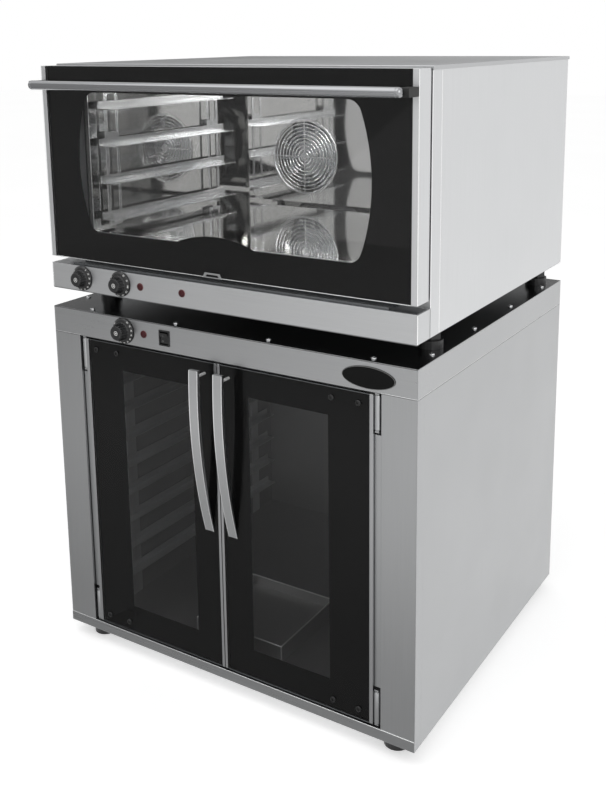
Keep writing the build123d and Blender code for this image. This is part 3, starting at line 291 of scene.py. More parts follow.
# %% Panes
def pane_glass(name, tint, ior, haze):
    """Flat glass: tint is what passes one face, ior sets the mirror, haze its blur."""
    material, tree = blank_material(name)
    smear = noise(tree, object_place(tree), 9.0, 3.0)
    back = add(tree, "ShaderNodeNewGeometry").outputs["Backfacing"]
    mirror = add(tree, "ShaderNodeFresnel", {"IOR": spread(tree, back, (0, 1), (ior, 1 / ior))})
    clear = add(tree, "ShaderNodeBsdfTransparent", {"Color": linear(tint)})
    shine = add(tree, "ShaderNodeBsdfPrincipled", {"Base Color": WHITE, "Metallic": 1.0,
                "Roughness": spread(tree, smear, (0.35, 0.7), (haze, haze * 2))})
    return finished(material, add(tree, "ShaderNodeMixShader", {0: mirror, 1: clear, 2: shine}))


glass_clear = pane_glass("Float glass toughened clear", "#fefefe", 1.24, 0.012)
glass_smoked = pane_glass("Float glass toughened smoked", "#ededed", 1.24, 0.012)
print("glass:", glass_clear.name, "and", glass_smoked.name)

# %% [markdown]
# ## Who wears what
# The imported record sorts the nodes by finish. Most nodes take the finish of
# their slot, and sheets whose grain runs another way are named one by one.

# %% Dress the CAD nodes
SLOT_FINISH = {
    "stainless": steel_across, "stainless_dark": steel_heat_tint_and_shade, "liner_steel": steel_lining,
    "aluminium": aluminium_satin, "bar_chrome": bar_polished, "clear_glass": glass_clear,
    "black_print": print_black, "black_plastic": plastic_black, "lamp_red": lens_red,
    "rubber": rubber_black, "wool": wool_mineral, "cast_wheel": wheel_cast,
    "heater_steel": heater_scaled, "motor_steel": motor_zinc, "body_plastic": plastic_grey,
}
NODE_FINISH = {
    steel_upright: ["cabinet_side_panels", "cabinet_front_posts", "cabinet_back", "cabinet_hinge_brackets",
                    "left_door_hinges", "right_door_hinges"],
    steel_bar: ["left_door_handle", "right_door_handle"],
    steel_pale_upright: ["oven_side_panels", "oven_back", "oven_front_frame", "oven_door_frame"],
    steel_pale_across: ["control_panel"],
    steel_cover_shaded: ["oven_top"],
    steel_liner: ["cabinet_liner", "water_pan"],
    zinc_painted_shade: ["oven_base"],
    steel_mirror: ["cabinet_top"],
    steel_wire: ["tray_racks"],
    steel_runner: ["cabinet_tray_runners"],
    glass_smoked: ["left_door_glass", "right_door_glass"],
}
finish_of = {node: material for material, names in NODE_FINISH.items() for node in names}
for name, node in nodes.items():
    slot = node.data.materials[0].name.split(".")[0]
    node.data.materials.clear()
    node.data.materials.append(finish_of.get(name, SLOT_FINISH[slot]))
print("dressed", len(nodes), "nodes")

# %% [markdown]
# ## Turned and flat pieces
# Knobs, lamp lenses and the door bar are round, so they are turned like wood on
# a lathe: a short profile of radius and height is swept round an axis. Strips
# and blocks are a flat section, drawn once and drawn out along x.

# %% Helpers for pieces
FRONT = -345.0  # mm, the plane that the panels and doors of both units share
TO_FRONT, UPWARD = (0, -1, 0), (0, 0, 1)
FACING_FRONT = Matrix(((1, 0, 0), (0, 0, -1), (0, 1, 0))).to_4x4()


def close_up(bm, name):
    """Turns all faces outwards and makes the mesh."""
    bmesh.ops.recalc_face_normals(bm, faces=bm.faces)
    mesh = bpy.data.meshes.new(name)
    bm.to_mesh(mesh)
    bm.free()
    return mesh


def put_in(name, shape, material, body, sharp=35.0):
    """Puts a finished mesh, or a bmesh that it first closes up, in the scene as one piece that rides on a body."""
    mesh = close_up(shape, name) if isinstance(shape, bmesh.types.BMesh) else shape
    mesh.materials.clear()
    mesh.materials.append(material)
    mesh.shade_smooth()
    mesh.set_sharp_from_angle(angle=radians(sharp))
    piece = bpy.data.objects.new(name, mesh)
    bpy.context.scene.collection.objects.link(piece)
    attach(piece, body)
    return piece


def pointed(way):
    """The turn that makes straight up point along a way."""
    return Vector(UPWARD).rotation_difference(Vector(way)).to_matrix().to_4x4()


def turn(bm, profile, centre, toward, steps=64, flutes=0):
    """Sweeps (radius, height, flute depth) rows in mm round an axis. Rows of no radius close the ends."""
    place = Matrix.Translation(Vector(centre) * MM) @ pointed(toward)
    rings = []
    for radius, height, groove in profile:
        ring = []
        for i in range(steps if radius else 1):
            angle = tau * i / steps
            r = radius - groove * (0.5 + 0.5 * cos(flutes * angle))
            ring.append(bm.verts.new(place @ (Vector((r * cos(angle), r * sin(angle), height)) * MM)))
        rings.append(ring)
    for low, high in zip(rings, rings[1:]):
        for i in range(steps):
            j = (i + 1) % steps
            corners = [low[i % len(low)], low[j % len(low)], high[j % len(high)], high[i % len(high)]]
            bm.faces.new(list(dict.fromkeys(corners)))


def weld(bm, within_mm=0.01):
    """Joins corners that lie in one place, as where a turned ring closes on itself."""
    bmesh.ops.remove_doubles(bm, verts=bm.verts, dist=within_mm * MM)


def walls(bm, one, two):
    """Faces between two rings of as many corners."""
    for i in range(len(one)):
        j = (i + 1) % len(one)
        bm.faces.new([one[i], one[j], two[j], two[i]])


def drawn_out(bm, section, low_x, high_x):
    """A closed section of (y, z) points in mm, drawn out along x."""
    near, far = [[bm.verts.new(Vector((x, y, z)) * MM) for y, z in section] for x in (low_x, high_x)]
    bm.faces.new(near)
    bm.faces.new(far)
    walls(bm, near, far)


print("fronts stand at y", FRONT, "mm")

# %% [markdown]
# ## Three control knobs
# Each knob is a moulded skirt with a sloping rim, where the scale is printed,
# and a fluted grip with a pale ring on its face. The grip is turned with a
# cosine flute, which gives a moulded feel with few faces. Skirt and grip take
# their places from the CAD knob, which the turned one stands for.

# %% Knobs
GRIP_SHARE, FLUTES = 0.64, 18
FACE_PIT, RING_OUTER, RING_INNER, DOT_R = 0.7, 4.6, 3.4, 1.7
dials = {}
for node_name, numerals in (
    ("timer_knob", [10 * n for n in range(12)]),
    ("oven_thermostat_knob", [50 + 25 * n for n in range(10)]),
    ("cabinet_thermostat_knob", [30 + 5 * n for n in range(13)]),
):
    low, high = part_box(node_name)
    skirt = (high.x - low.x) / 2 / MM
    reach = (FRONT * MM - low.y) / MM
    centre = Vector(((low.x + high.x) / 2, FRONT * MM, (low.z + high.z) / 2)) / MM
    dials[node_name] = (centre, skirt, numerals)
    grip, pit = skirt * GRIP_SHARE, reach - FACE_PIT
    rim = [(0, 1.0, 0), (skirt - 0.6, 1.0, 0), (skirt, 1.6, 0), (skirt - 0.2, 2.4, 0),
           (skirt - 5.2, 5.6, 0), (skirt - 6.0, 5.8, 0), (grip + 2.2, 6.0, 0)]
    fluted = [(grip + 1.0, 7.0, 0.5), (grip + 0.4, 9.0, 1.2),
              (grip - 1.2, reach - 4.0, 1.3), (grip - 2.0, reach - 1.6, 0.9)]
    face = [(grip - 3.4, reach - 0.2, 0), (grip - 4.4, reach, 0), (grip - 5.0, pit, 0), (6.2, pit, 0), (0, pit, 0)]
    bm = bmesh.new()
    turn(bm, rim + fluted + face, centre, TO_FRONT, steps=6 * FLUTES, flutes=FLUTES)
    knob = put_in(node_name + "_turned", bm, plastic_black, node_name, sharp=50)
    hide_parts(node_name)

    bm = bmesh.new()
    foot, crest = pit - 0.1, pit + 0.25
    turn(bm, [(RING_OUTER, foot, 0), (RING_OUTER, crest, 0), (RING_INNER, crest, 0), (RING_INNER, foot, 0),
              (RING_OUTER, foot, 0)], centre, TO_FRONT, steps=40)
    turn(bm, [(0, foot, 0), (DOT_R, foot, 0), (DOT_R, crest, 0), (0, crest, 0)], centre, TO_FRONT, steps=24)
    weld(bm)
    put_in(node_name + "_face_ring", bm, print_white, node_name)
    print(node_name, "skirt", round(skirt, 1), "mm, stands out", round(reach, 1), "mm")

# %% [markdown]
# ## Numerals on the dials
# The scale is plain numbers round the sloping rim. Blender's own typeface is
# enough: each number is a text curve, made a mesh first and then turned into
# place, because a finished piece keeps its place in its mesh.

# %% Numerals
def lettering(words, size_mm, thick_mm, bold=0.0):
    """A text as a mesh, centred on the origin and facing up. bold widens its strokes, in mm."""
    curve = bpy.data.curves.new("words", "FONT")
    curve.body = words
    curve.size = size_mm * MM
    curve.extrude = thick_mm * MM / 2
    curve.offset = bold * MM
    curve.align_x, curve.align_y = "CENTER", "CENTER"
    curve.resolution_u = 2
    holder = bpy.data.objects.new("words", curve)
    mesh = bpy.data.meshes.new_from_object(holder)
    bpy.data.objects.remove(holder)
    bpy.data.curves.remove(curve)
    return mesh


def joined(parts, name):
    """Several meshes, each with its matrix, as one mesh."""
    bm = bmesh.new()
    for mesh, place in parts:
        mesh.transform(place)
        bm.from_mesh(mesh)
    weld(bm, within_mm=0.005)
    mesh = bpy.data.meshes.new(name)
    bm.to_mesh(mesh)
    bm.free()
    return mesh


SCALE_FROM, SCALE_SWEEP = 55.0, 270.0
NUMERAL_HIGH, NUMERAL_THICK, NUMERAL_BOLD = 4.3, 0.3, 0.12
RIM_INSET, RIM_HEIGHT, RIM_SLOPE = 2.9, 4.35, radians(32)
lean = Matrix.Rotation(-RIM_SLOPE, 4, "X")
for node_name, (centre, skirt, numerals) in dials.items():
    dial = Matrix.Translation(centre * MM) @ FACING_FRONT
    on_rim = Matrix.Translation(Vector((0, skirt - RIM_INSET, RIM_HEIGHT)) * MM) @ lean
    parts = []
    for i, number in enumerate(numerals):
        angle = radians(SCALE_FROM - SCALE_SWEEP * i / (len(numerals) - 1))
        around = Matrix.Rotation(angle - pi / 2, 4, "Z")
        numeral = lettering(str(number), NUMERAL_HIGH, NUMERAL_THICK, bold=NUMERAL_BOLD)
        parts.append((numeral, dial @ around @ on_rim))
    put_in(node_name + "_scale", joined(parts, node_name + "_scale"), print_white, node_name)
print("dials:", len(dials))

# %% [markdown]
# ## Lamps
# Each pilot lamp is a low red dome in a thin bright collar. Both are turned.

# %% Lamp lenses and collars
low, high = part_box("indicator_lamps")
LAMP_PLACES = [(-180.0, 812.0), (-77.0, 812.0), (-176.5, 717.0)]
LENS_R, WALL, CROWN = 6.2, 1.6, 1.9
dome = [(0, 0, 0), (LENS_R, 0, 0), (LENS_R, WALL, 0)]
dome += [(LENS_R * cos(a), WALL + CROWN * sin(a), 0) for a in (0.35, 0.7, 1.05, 1.35)] + [(0, WALL + CROWN, 0)]
collar = [(6.3, 0, 0), (7.6, 0, 0), (7.6, 0.7, 0), (7.2, 1.1, 0), (6.6, 1.1, 0), (6.3, 0.8, 0), (6.3, 0, 0)]
lenses, collars = bmesh.new(), bmesh.new()
for x, z in LAMP_PLACES:
    turn(lenses, dome, (x, FRONT, z), TO_FRONT, steps=40)
    turn(collars, collar, (x, FRONT, z), TO_FRONT, steps=40)
weld(collars)
lamps = put_in("lamp_lenses", lenses, lens_red, "stack")
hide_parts("indicator_lamps")
put_in("lamp_collars", collars, collar_red, "stack")
print("lamps:", len(LAMP_PLACES), "CAD lamps end at", round(low.y / MM, 1), "mm")

# %% [markdown]
# ## The door bar
# The oven's door is opened by a polished round bar across its whole width. It
# has a pressed-in cap at each end, with a fine groove before its round nose.

# %% Turned bar
low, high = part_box("oven_door_handle")
middle = (low + high) / 2 / MM
half, r = (high.x - low.x) / 2 / MM, (high.z - low.z) / 2 / MM
NOSE, GROOVE = 7.5, 0.4
groove = [(r, half - 10.6, 0), (r - GROOVE, half - 10.4, 0), (r - GROOVE, half - 9.9, 0), (r, half - 9.7, 0)]
nose = [(r * cos(a), half - NOSE + NOSE * sin(a), 0) for a in (0.2, 0.45, 0.7, 0.95, 1.2, 1.4)] + [(0, half, 0)]
side = [(r, 0, 0)] + groove + [(r, half - NOSE, 0)] + nose
bar = bmesh.new()
turn(bar, [(radius, -height, 0) for radius, height, _ in reversed(side[1:])] + side, middle, (1, 0, 0), steps=64)
bar_piece = put_in("oven_door_bar", bar, bar_polished, "oven_door")
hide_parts("oven_door_handle")
print("bar", round(2 * half), "mm long and", round(2 * r), "mm thick")

# %% Blocks that carry the bar
low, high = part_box("oven_door_handle_blocks")
BLOCK_WIDE, BLOCK_HIGH, BLOCK_ROUND = 17.5, 15.4, 2.0
front, back, foot, head = low.y / MM, high.y / MM, middle.z - BLOCK_HIGH / 2, middle.z + BLOCK_HIGH / 2
section = [(back, foot), (front + BLOCK_ROUND, foot), (front + 0.6, foot + 0.6), (front, foot + BLOCK_ROUND),
           (front, head - BLOCK_ROUND), (front + 0.6, head - 0.6), (front + BLOCK_ROUND, head), (back, head)]
bm = bmesh.new()
for outer in (low.x / MM + BLOCK_WIDE, high.x / MM):
    drawn_out(bm, section, outer - BLOCK_WIDE, outer)
blocks = put_in("oven_door_bar_blocks", bm, nylon_black, "oven_door")
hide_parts("oven_door_handle_blocks")
print("blocks", round(back - front), "mm deep")

# %% [markdown]
# ## Screws and bolts
# A screw head repeats, so one Geometry Nodes tree makes it: a disc is extruded
# up in two steps, drawn in at the edge, and sunk in the middle for the driver.
# It is set on every point of a small mesh of places, each turned at random
# with a fixed seed. The same tree, with other numbers, makes the black bolts
# that hold the glass to the cabinet's doors.

# %% The screw tree
def opened_tree(name, inputs, output):
    """A new Geometry Nodes tree with named inputs, each of one kind of socket, and one output."""
    tree = bpy.data.node_groups.new(name, "GeometryNodeTree")
    for label, kind in inputs.items():
        tree.interface.new_socket(label, in_out="INPUT", socket_type="NodeSocket" + kind)
    tree.interface.new_socket(output, in_out="OUTPUT", socket_type="NodeSocketGeometry")
    return tree, add(tree, "NodeGroupInput").outputs


def closed_tree(tree, shape, finish, output):
    """Makes the instances real, gives them their material and sends them to the tree's output."""
    real = add(tree, "GeometryNodeRealizeInstances", {"Geometry": shape})
    dressed = add(tree, "GeometryNodeSetMaterial", {"Geometry": real, "Material": finish})
    add(tree, "NodeGroupOutput", {output: dressed})
    return tree


def screw_tree():
    """Geometry Nodes: button-head fasteners on the points of a mesh."""
    tree, given = opened_tree("Button head fasteners", {
        "Places": "Geometry", "Head radius": "Float", "Head height": "Float", "Socket radius": "Float",
        "Facing": "Vector", "Sides": "Int", "Finish": "Material"}, "Screws")
    disc = add(tree, "GeometryNodeMeshCircle", {"Vertices": given["Sides"], "Radius": given["Head radius"]},
               fill_type="NGON")
    underside = add(tree, "GeometryNodeFlipFaces", {"Mesh": disc})
    # the top face has shrunk to 0.9 times 0.8 of the head when the socket is drawn in it
    ratio = maths(tree, "DIVIDE", given["Socket radius"], given["Head radius"])
    ratio = maths(tree, "DIVIDE", ratio, 0.72)
    shape, top = disc, None
    for lift, shrink in ((0.55, 1.0), (0.30, 0.90), (0.15, 0.80), (0.0, ratio), (-0.6, 0.85)):
        step = {"Mesh": shape, "Offset Scale": maths(tree, "MULTIPLY", given["Head height"], lift)}
        if top:
            step["Selection"] = top
        raised = add(tree, "GeometryNodeExtrudeMesh", step, mode="FACES").outputs
        top = raised["Top"]
        shape = add(tree, "GeometryNodeScaleElements", {"Geometry": raised["Mesh"], "Selection": top,
                    "Scale": shrink}, domain="FACE")
    whole = add(tree, "GeometryNodeJoinGeometry", {"Geometry": underside})
    tree.links.new(shape.outputs[0], whole.inputs["Geometry"])
    head = add(tree, "GeometryNodeMergeByDistance", {"Geometry": whole, "Distance": 0.00001})
    facing = add(tree, "FunctionNodeAlignRotationToVector", {"Vector": given["Facing"]}, axis="Z")
    screws = add(tree, "GeometryNodeInstanceOnPoints", {"Points": given["Places"], "Instance": head,
                 "Rotation": facing})
    spin = add(tree, "FunctionNodeRandomValue", {"Min": (0, 0, 0), "Max": (0, 0, tau), "Seed": 5},
               data_type="FLOAT_VECTOR")
    spun = add(tree, "GeometryNodeRotateInstances", {"Instances": screws, "Rotation": spin})
    return closed_tree(tree, spun, given["Finish"], "Screws")


def grown(name, tree, points, settings, joins=()):
    """Runs a Geometry Nodes tree on points, and on the lines that join them, and gives a plain mesh."""
    seed = bpy.data.meshes.new(name)
    seed.from_pydata([Vector(p) * MM for p in points], list(joins), [])
    holder = bpy.data.objects.new(name + "_places", seed)
    bpy.context.scene.collection.objects.link(holder)
    modifier = holder.modifiers.new("grow", "NODES")
    modifier.node_group = tree
    sockets = {i.name: i.identifier for i in tree.interface.items_tree if i.in_out == "INPUT"}
    for label, value in settings.items():
        modifier[sockets[label]] = value
    bpy.context.view_layer.update()
    mesh = bpy.data.meshes.new_from_object(holder.evaluated_get(bpy.context.evaluated_depsgraph_get()))
    holder.modifiers.remove(modifier)
    bpy.data.objects.remove(holder)
    print(name, "has", len(mesh.polygons), "faces")
    return mesh


button_head = screw_tree()

# %% Screws of the top plate
TOP_PLATE, FRONT_ROW, SIDE_ROW = 744.0, -328.0, 402
plate_screws = [(x, FRONT_ROW, TOP_PLATE) for x in (-325, -108, 108, 325)]
plate_screws += [(side * SIDE_ROW, y, TOP_PLATE) for side in (-1, 1) for y in (-260, -75, 110, 296)]
mesh = grown("top_plate_screws", button_head, plate_screws, {
    "Head radius": 0.0049, "Head height": 0.003, "Socket radius": 0.0015, "Facing": UPWARD, "Sides": 24,
    "Finish": screw_bright})
put_in("top_plate_screws", mesh, screw_bright, "stack")

# %% Bolts of the cabinet's doors
DOORS = (("right", 1), ("left", -1))  # each with the sign of its x
BOLT_COLUMNS, BOLT_ROWS = (250, 304), (75, 666)
for hand, way in DOORS:
    places = [(way * x, FRONT, z) for x in BOLT_COLUMNS for z in BOLT_ROWS]
    mesh = grown(hand + "_door_bolts", button_head, places, {
        "Head radius": 0.0058, "Head height": 0.003, "Socket radius": 0.0022, "Facing": TO_FRONT, "Sides": 24,
        "Finish": bolt_black})
    put_in(hand + "_door_bolts", mesh, bolt_black, hand + "_door")

# %% [markdown]
# ## Fan baffle
# A sheet stands in front of the two fans. In front of each wheel it is punched
# into a guard of many narrow rings held by spokes, finer than CAD can afford.
# The sheet's outline and its two round holes are filled with one operator, and
# another gives the thickness. Rings are turned, like the knobs.

# %% Baffle sheet with two holes
FAN_CENTRES = [(-132.0, 1013.0), (132.0, 1013.0)]
GUARD_R, HOLE_SIDES, FLANGE = 81.0, 72, 14
low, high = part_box("fan_baffle")
sheet = bmesh.new()


def loop(points):
    """Joins (x, z) points in mm into a closed line on the baffle's front plane."""
    ring = [sheet.verts.new((x * MM, low.y, z * MM)) for x, z in points]
    return [sheet.edges.new((ring[i], ring[(i + 1) % len(ring)])) for i in range(len(ring))]


left, right_end, foot, head = low.x / MM, high.x / MM, low.z / MM, high.z / MM
outline = loop([(left, foot), (right_end, foot), (right_end, head), (left, head)])
lines = list(outline)
for x, z in FAN_CENTRES:
    angles = [tau * i / HOLE_SIDES for i in range(HOLE_SIDES)]
    lines += loop([(x + GUARD_R * cos(a), z + GUARD_R * sin(a)) for a in angles])
bmesh.ops.triangle_fill(sheet, edges=lines, use_beauty=True, normal=TO_FRONT)
upright = [e for e in outline if abs(e.verts[0].co.x - e.verts[1].co.x) < 1e-6]
folded = bmesh.ops.extrude_edge_only(sheet, edges=upright)["geom"]
rear = [v for v in folded if isinstance(v, bmesh.types.BMVert)]
bmesh.ops.translate(sheet, verts=rear, vec=(0, FLANGE * MM, 0))
bmesh.ops.recalc_face_normals(sheet, faces=sheet.faces)
if sum(f.normal.y * f.calc_area() for f in sheet.faces) > 0:
    bmesh.ops.reverse_faces(sheet, faces=sheet.faces)
bmesh.ops.solidify(sheet, geom=sheet.faces[:], thickness=1.0 * MM)
baffle = put_in("fan_baffle_sheet", sheet, steel_lining, "stack")
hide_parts("fan_baffle")

# %% Guard rings and spokes
RINGS, RING_PITCH, RING_BAR, OUTER_BAR = 9, 8.4, 3.2, 4.4
HUB_R, SPOKES, SPOKE_HALF, SPOKE_FROM, SPOKE_LONG = 10.4, 4, 1.6, 10, 72
guard = bmesh.new()
for x, z in FAN_CENTRES:
    centre = (x, low.y / MM - 0.6, z)
    turn(guard, [(0, 0, 0), (HUB_R + 0.6, 0, 0), (HUB_R + 0.6, 1.2, 0), (HUB_R, 1.8, 0), (0, 1.8, 0)],
         centre, TO_FRONT, steps=40)
    for k in range(1, RINGS + 1):
        inner = HUB_R + RING_PITCH * k - RING_BAR
        outer = inner + (RING_BAR if k < RINGS else OUTER_BAR)
        turn(guard, [(inner, 0, 0), (outer, 0, 0), (outer, 0.9, 0), (outer - 0.5, 1.3, 0), (inner + 0.5, 1.3, 0),
                     (inner, 0.9, 0), (inner, 0, 0)], centre, TO_FRONT, steps=HOLE_SIDES)
    for quarter in range(SPOKES):
        spoke = Matrix.Translation(Vector(centre) * MM) @ Matrix.Rotation(tau * quarter / SPOKES, 4, "Y")
        corners = [Vector((across, -out, SPOKE_FROM)) * MM for across, out in (
            (-SPOKE_HALF, 0.1), (SPOKE_HALF, 0.1), (SPOKE_HALF, 1.6), (-SPOKE_HALF, 1.6))]
        near = [guard.verts.new(spoke @ c) for c in corners]
        far = [guard.verts.new(spoke @ (c + Vector((0, 0, SPOKE_LONG * MM)))) for c in corners]
        guard.faces.new(near)
        guard.faces.new(far)
        walls(guard, near, far)
weld(guard)
put_in("fan_guards", guard, steel_wire, "stack")
print("guard rings:", RINGS * len(FAN_CENTRES))

# %% [markdown]
# ## Folded edges and seams
# A folded sheet has a small radius, and along it runs a fine line of light;
# where two sheets meet, a fine dark line runs instead. Both follow straight
# runs, so one Geometry Nodes tree sweeps a small round section along the edges
# of a mesh of lines. Set a third of a millimetre proud, it reads as the bend.
# Most of the bright beads are of a paler, smoother steel than the sheet, a
# painted highlight for the line of light.

# %% The edge tree
def edge_tree():
    """Geometry Nodes: a round section swept along the edges of a mesh."""
    tree, given = opened_tree("Folded edges", {
        "Lines": "Geometry", "Radius": "Float", "Sides": "Int", "Finish": "Material"}, "Edges")
    runs = add(tree, "GeometryNodeMeshToCurve", {"Mesh": given["Lines"]})
    section = add(tree, "GeometryNodeCurvePrimitiveCircle", {"Resolution": given["Sides"],
                  "Radius": given["Radius"]})
    swept = add(tree, "GeometryNodeCurveToMesh", {"Curve": runs, "Profile Curve": section, "Fill Caps": True})
    return closed_tree(tree, swept, given["Finish"], "Edges")


folded_edge = edge_tree()


def edges(name, lines, radius_mm, finish, body="stack"):
    """Sweeps a section along lines, each a pair of points in mm, as one piece on a body."""
    points = [p for line in lines for p in line]
    mesh = grown(name, folded_edge, points, {"Radius": radius_mm * MM, "Sides": 10, "Finish": finish},
                 joins=[(2 * i, 2 * i + 1) for i in range(len(lines))])
    return put_in(name, mesh, finish, body, sharp=60)


def both_sides(x, y, low_z, high_z):
    """Two upright lines, one on each side of the unit."""
    return [((side * x, y, low_z), (side * x, y, high_z)) for side in (-1, 1)]


# %% Bright folds
FOLD = 0.7  # how far inside the corner the rounded fold has its centre
CABINET_HALF, OVEN_HALF, DOOR_HALF = 417.5, 415.3, 414.5
COVER_FRONT, PANEL_FOOT, PANEL_HEAD = -297, 786.5, 836
edges("cabinet_folds", both_sides(CABINET_HALF - FOLD, FRONT + FOLD, 50, 741.5), 1.05, steel_upright)
# the oven's folds, its door's folds and the door's lower line are beads of the paler steel: a painted highlight
edges("oven_body_folds", both_sides(OVEN_HALF - FOLD, COVER_FRONT + FOLD, 838, 1229)
      + both_sides(OVEN_HALF - 0.6, -261.4, 787, 1229)
      + both_sides(OVEN_HALF - FOLD, FRONT + FOLD, PANEL_FOOT, PANEL_HEAD), 1.1, steel_painted_highlight)
edges("oven_door_folds", both_sides(DOOR_HALF - FOLD, FRONT + FOLD, 852, 1233), 1.1, steel_painted_highlight, "oven_door")
edges("oven_door_lower_line", [((-402, -344.9, 851.2), (402, -344.9, 851.2))], 0.6, steel_painted_highlight, "oven_door")

# %% Dark seams and bright lines beside them
def round_the_corners(z):
    """Lines at one height, across both posts and along both sides."""
    on_posts = [((side * 347.2, FRONT, z), (side * 417.4, FRONT, z)) for side in (-1, 1)]
    return on_posts + [((side * CABINET_HALF, -344.5, z), (side * CABINET_HALF, 377, z)) for side in (-1, 1)]


SEAM_Z, PLATE_EDGE = 690.0, 742.6
seam_lines = round_the_corners(SEAM_Z) + [((-417, FRONT, PLATE_EDGE), (417, FRONT, PLATE_EDGE))]
seam_lines += both_sides(OVEN_HALF, COVER_FRONT - 0.4, PANEL_FOOT, PANEL_HEAD)
edges("sheet_seams", seam_lines, 0.38, rubber_black)
# bright lips just above the seam: beads of the paler steel, a painted highlight
edges("sheet_lips", round_the_corners(SEAM_Z + 0.9), 0.4, steel_painted_highlight)

# %% [markdown]
# ## Hardware of the cabinet's doors
# Each bowed handle is a flat bar, and a round stud holds it off the glass near
# its upper end. Along the bar's two edges runs a bead of paler steel, a painted
# highlight for the light its ground edges catch; the stud's pale tone is partly
# a painted highlight too. The beads follow the bar's arc, so the arc is worked
# out from three of its points. Each hinge turns in a drawn sleeve, and the lower
# pins end in a small round head. A trim of darker steel closes the door's
# profile above and below, a painted shade along its edges.

# %% Bright edges of the doors' handles
def arc_points(a, b, c, count):
    """Points on the arc from a over b to c, in the (y, z) plane."""
    (ay, az), (by, bz), (cy, cz) = a, b, c
    d = 2 * (ay * (bz - cz) + by * (cz - az) + cy * (az - bz))
    my = ((ay**2 + az**2) * (bz - cz) + (by**2 + bz**2) * (cz - az) + (cy**2 + cz**2) * (az - bz)) / d
    mz = ((ay**2 + az**2) * (cy - by) + (by**2 + bz**2) * (ay - cy) + (cy**2 + cz**2) * (by - ay)) / d
    radius = ((ay - my) ** 2 + (az - mz) ** 2) ** 0.5
    first, last = atan2(az - mz, ay - my) % tau, atan2(cz - mz, cy - my) % tau
    angles = [first + (last - first) * i / count for i in range(count + 1)]
    return [(my + radius * cos(a), mz + radius * sin(a)) for a in angles]


HANDLE_LOW, HANDLE_HIGH, HANDLE_X, HANDLE_HALF = 341.0, 678.0, 28.0, 9.7
BOW_MIDDLE, BOW_END = FRONT - 32.5, FRONT - 36.0
bow = arc_points((FRONT, HANDLE_LOW), (BOW_MIDDLE, (HANDLE_LOW + HANDLE_HIGH) / 2), (BOW_END, HANDLE_HIGH), 20)
for hand, way in DOORS:
    runs = []
    for x in (HANDLE_X - HANDLE_HALF, HANDLE_X + HANDLE_HALF):
        edge = [(way * x, y + 0.25, z) for y, z in bow]
        runs += list(zip(edge, edge[1:]))
    # pale steel beads along the bar's edges: a painted highlight
    edges(hand + "_handle_edges", runs, 0.8, steel_painted_highlight, hand + "_door")

# %% Hinge sleeves with their pin heads
HINGE_X, HINGE_Y, LOWER_FOOT, UPPER_FOOT = 339.0, -338.0, 56.0, 622.0
sleeve = [(0, 0, 0), (5.7, 0, 0), (6.3, 0.6, 0), (6.3, 61.4, 0), (5.7, 62.3, 0), (3.0, 62.4, 0)]
pin_head = [(3.0 * cos(a), 64.2 + 2.7 * sin(a), 0) for a in (-0.4, 0.0, 0.5, 0.9, 1.25)]
for hand, way in DOORS:
    bm = bmesh.new()
    turn(bm, sleeve + pin_head + [(0, 67.0, 0)], (way * HINGE_X, HINGE_Y, LOWER_FOOT), UPWARD, steps=32)
    turn(bm, sleeve + [(0, 62.6, 0)], (way * HINGE_X, HINGE_Y, UPPER_FOOT), UPWARD, steps=32)
    put_in(hand + "_hinge_sleeves", bm, aluminium_satin, hand + "_door")

# %% Trims of the cabinet's doors
TRIM_NEAR, TRIM_FAR, TRIM_ROWS = 7, 325.6, (54.7, 685.3)
for hand, way in DOORS:
    ends = [((way * TRIM_NEAR, FRONT - 0.1, z), (way * TRIM_FAR, FRONT - 0.1, z)) for z in TRIM_ROWS]
    # dark steel trims along the door's top and bottom edges: painted shade
    edges(hand + "_door_trims", ends, 0.7, steel_heat_tint_and_shade, hand + "_door")

# %% Studs behind the doors' handles
STUD_R, STUD_LONG, STUD_BELOW = 2.7, 31.0, 15.0
for hand, way in DOORS:
    bm = bmesh.new()
    turn(bm, [(0, 0, 0), (STUD_R, 0, 0), (STUD_R, STUD_LONG, 0), (0, STUD_LONG, 0)],
         (way * HANDLE_X, FRONT, HANDLE_HIGH - STUD_BELOW), TO_FRONT, steps=24)
    # the studs' pale tone is partly a painted highlight
    put_in(hand + "_handle_studs", bm, steel_blasted_painted_highlight, hand + "_door")

# %% [markdown]
# ## Print on the cabinet's doors and the pan's rim
# The black print behind each cabinet pane leaves a window. Its band is a touch
# narrower below than the CAD's, as on the real doors, so a thin frame with the
# right window stands for the CAD's. Inside, the water pan has a folded rim,
# which is what one sees of it through the smoked glass; beads of pale steel
# along it make it bright, a painted highlight.

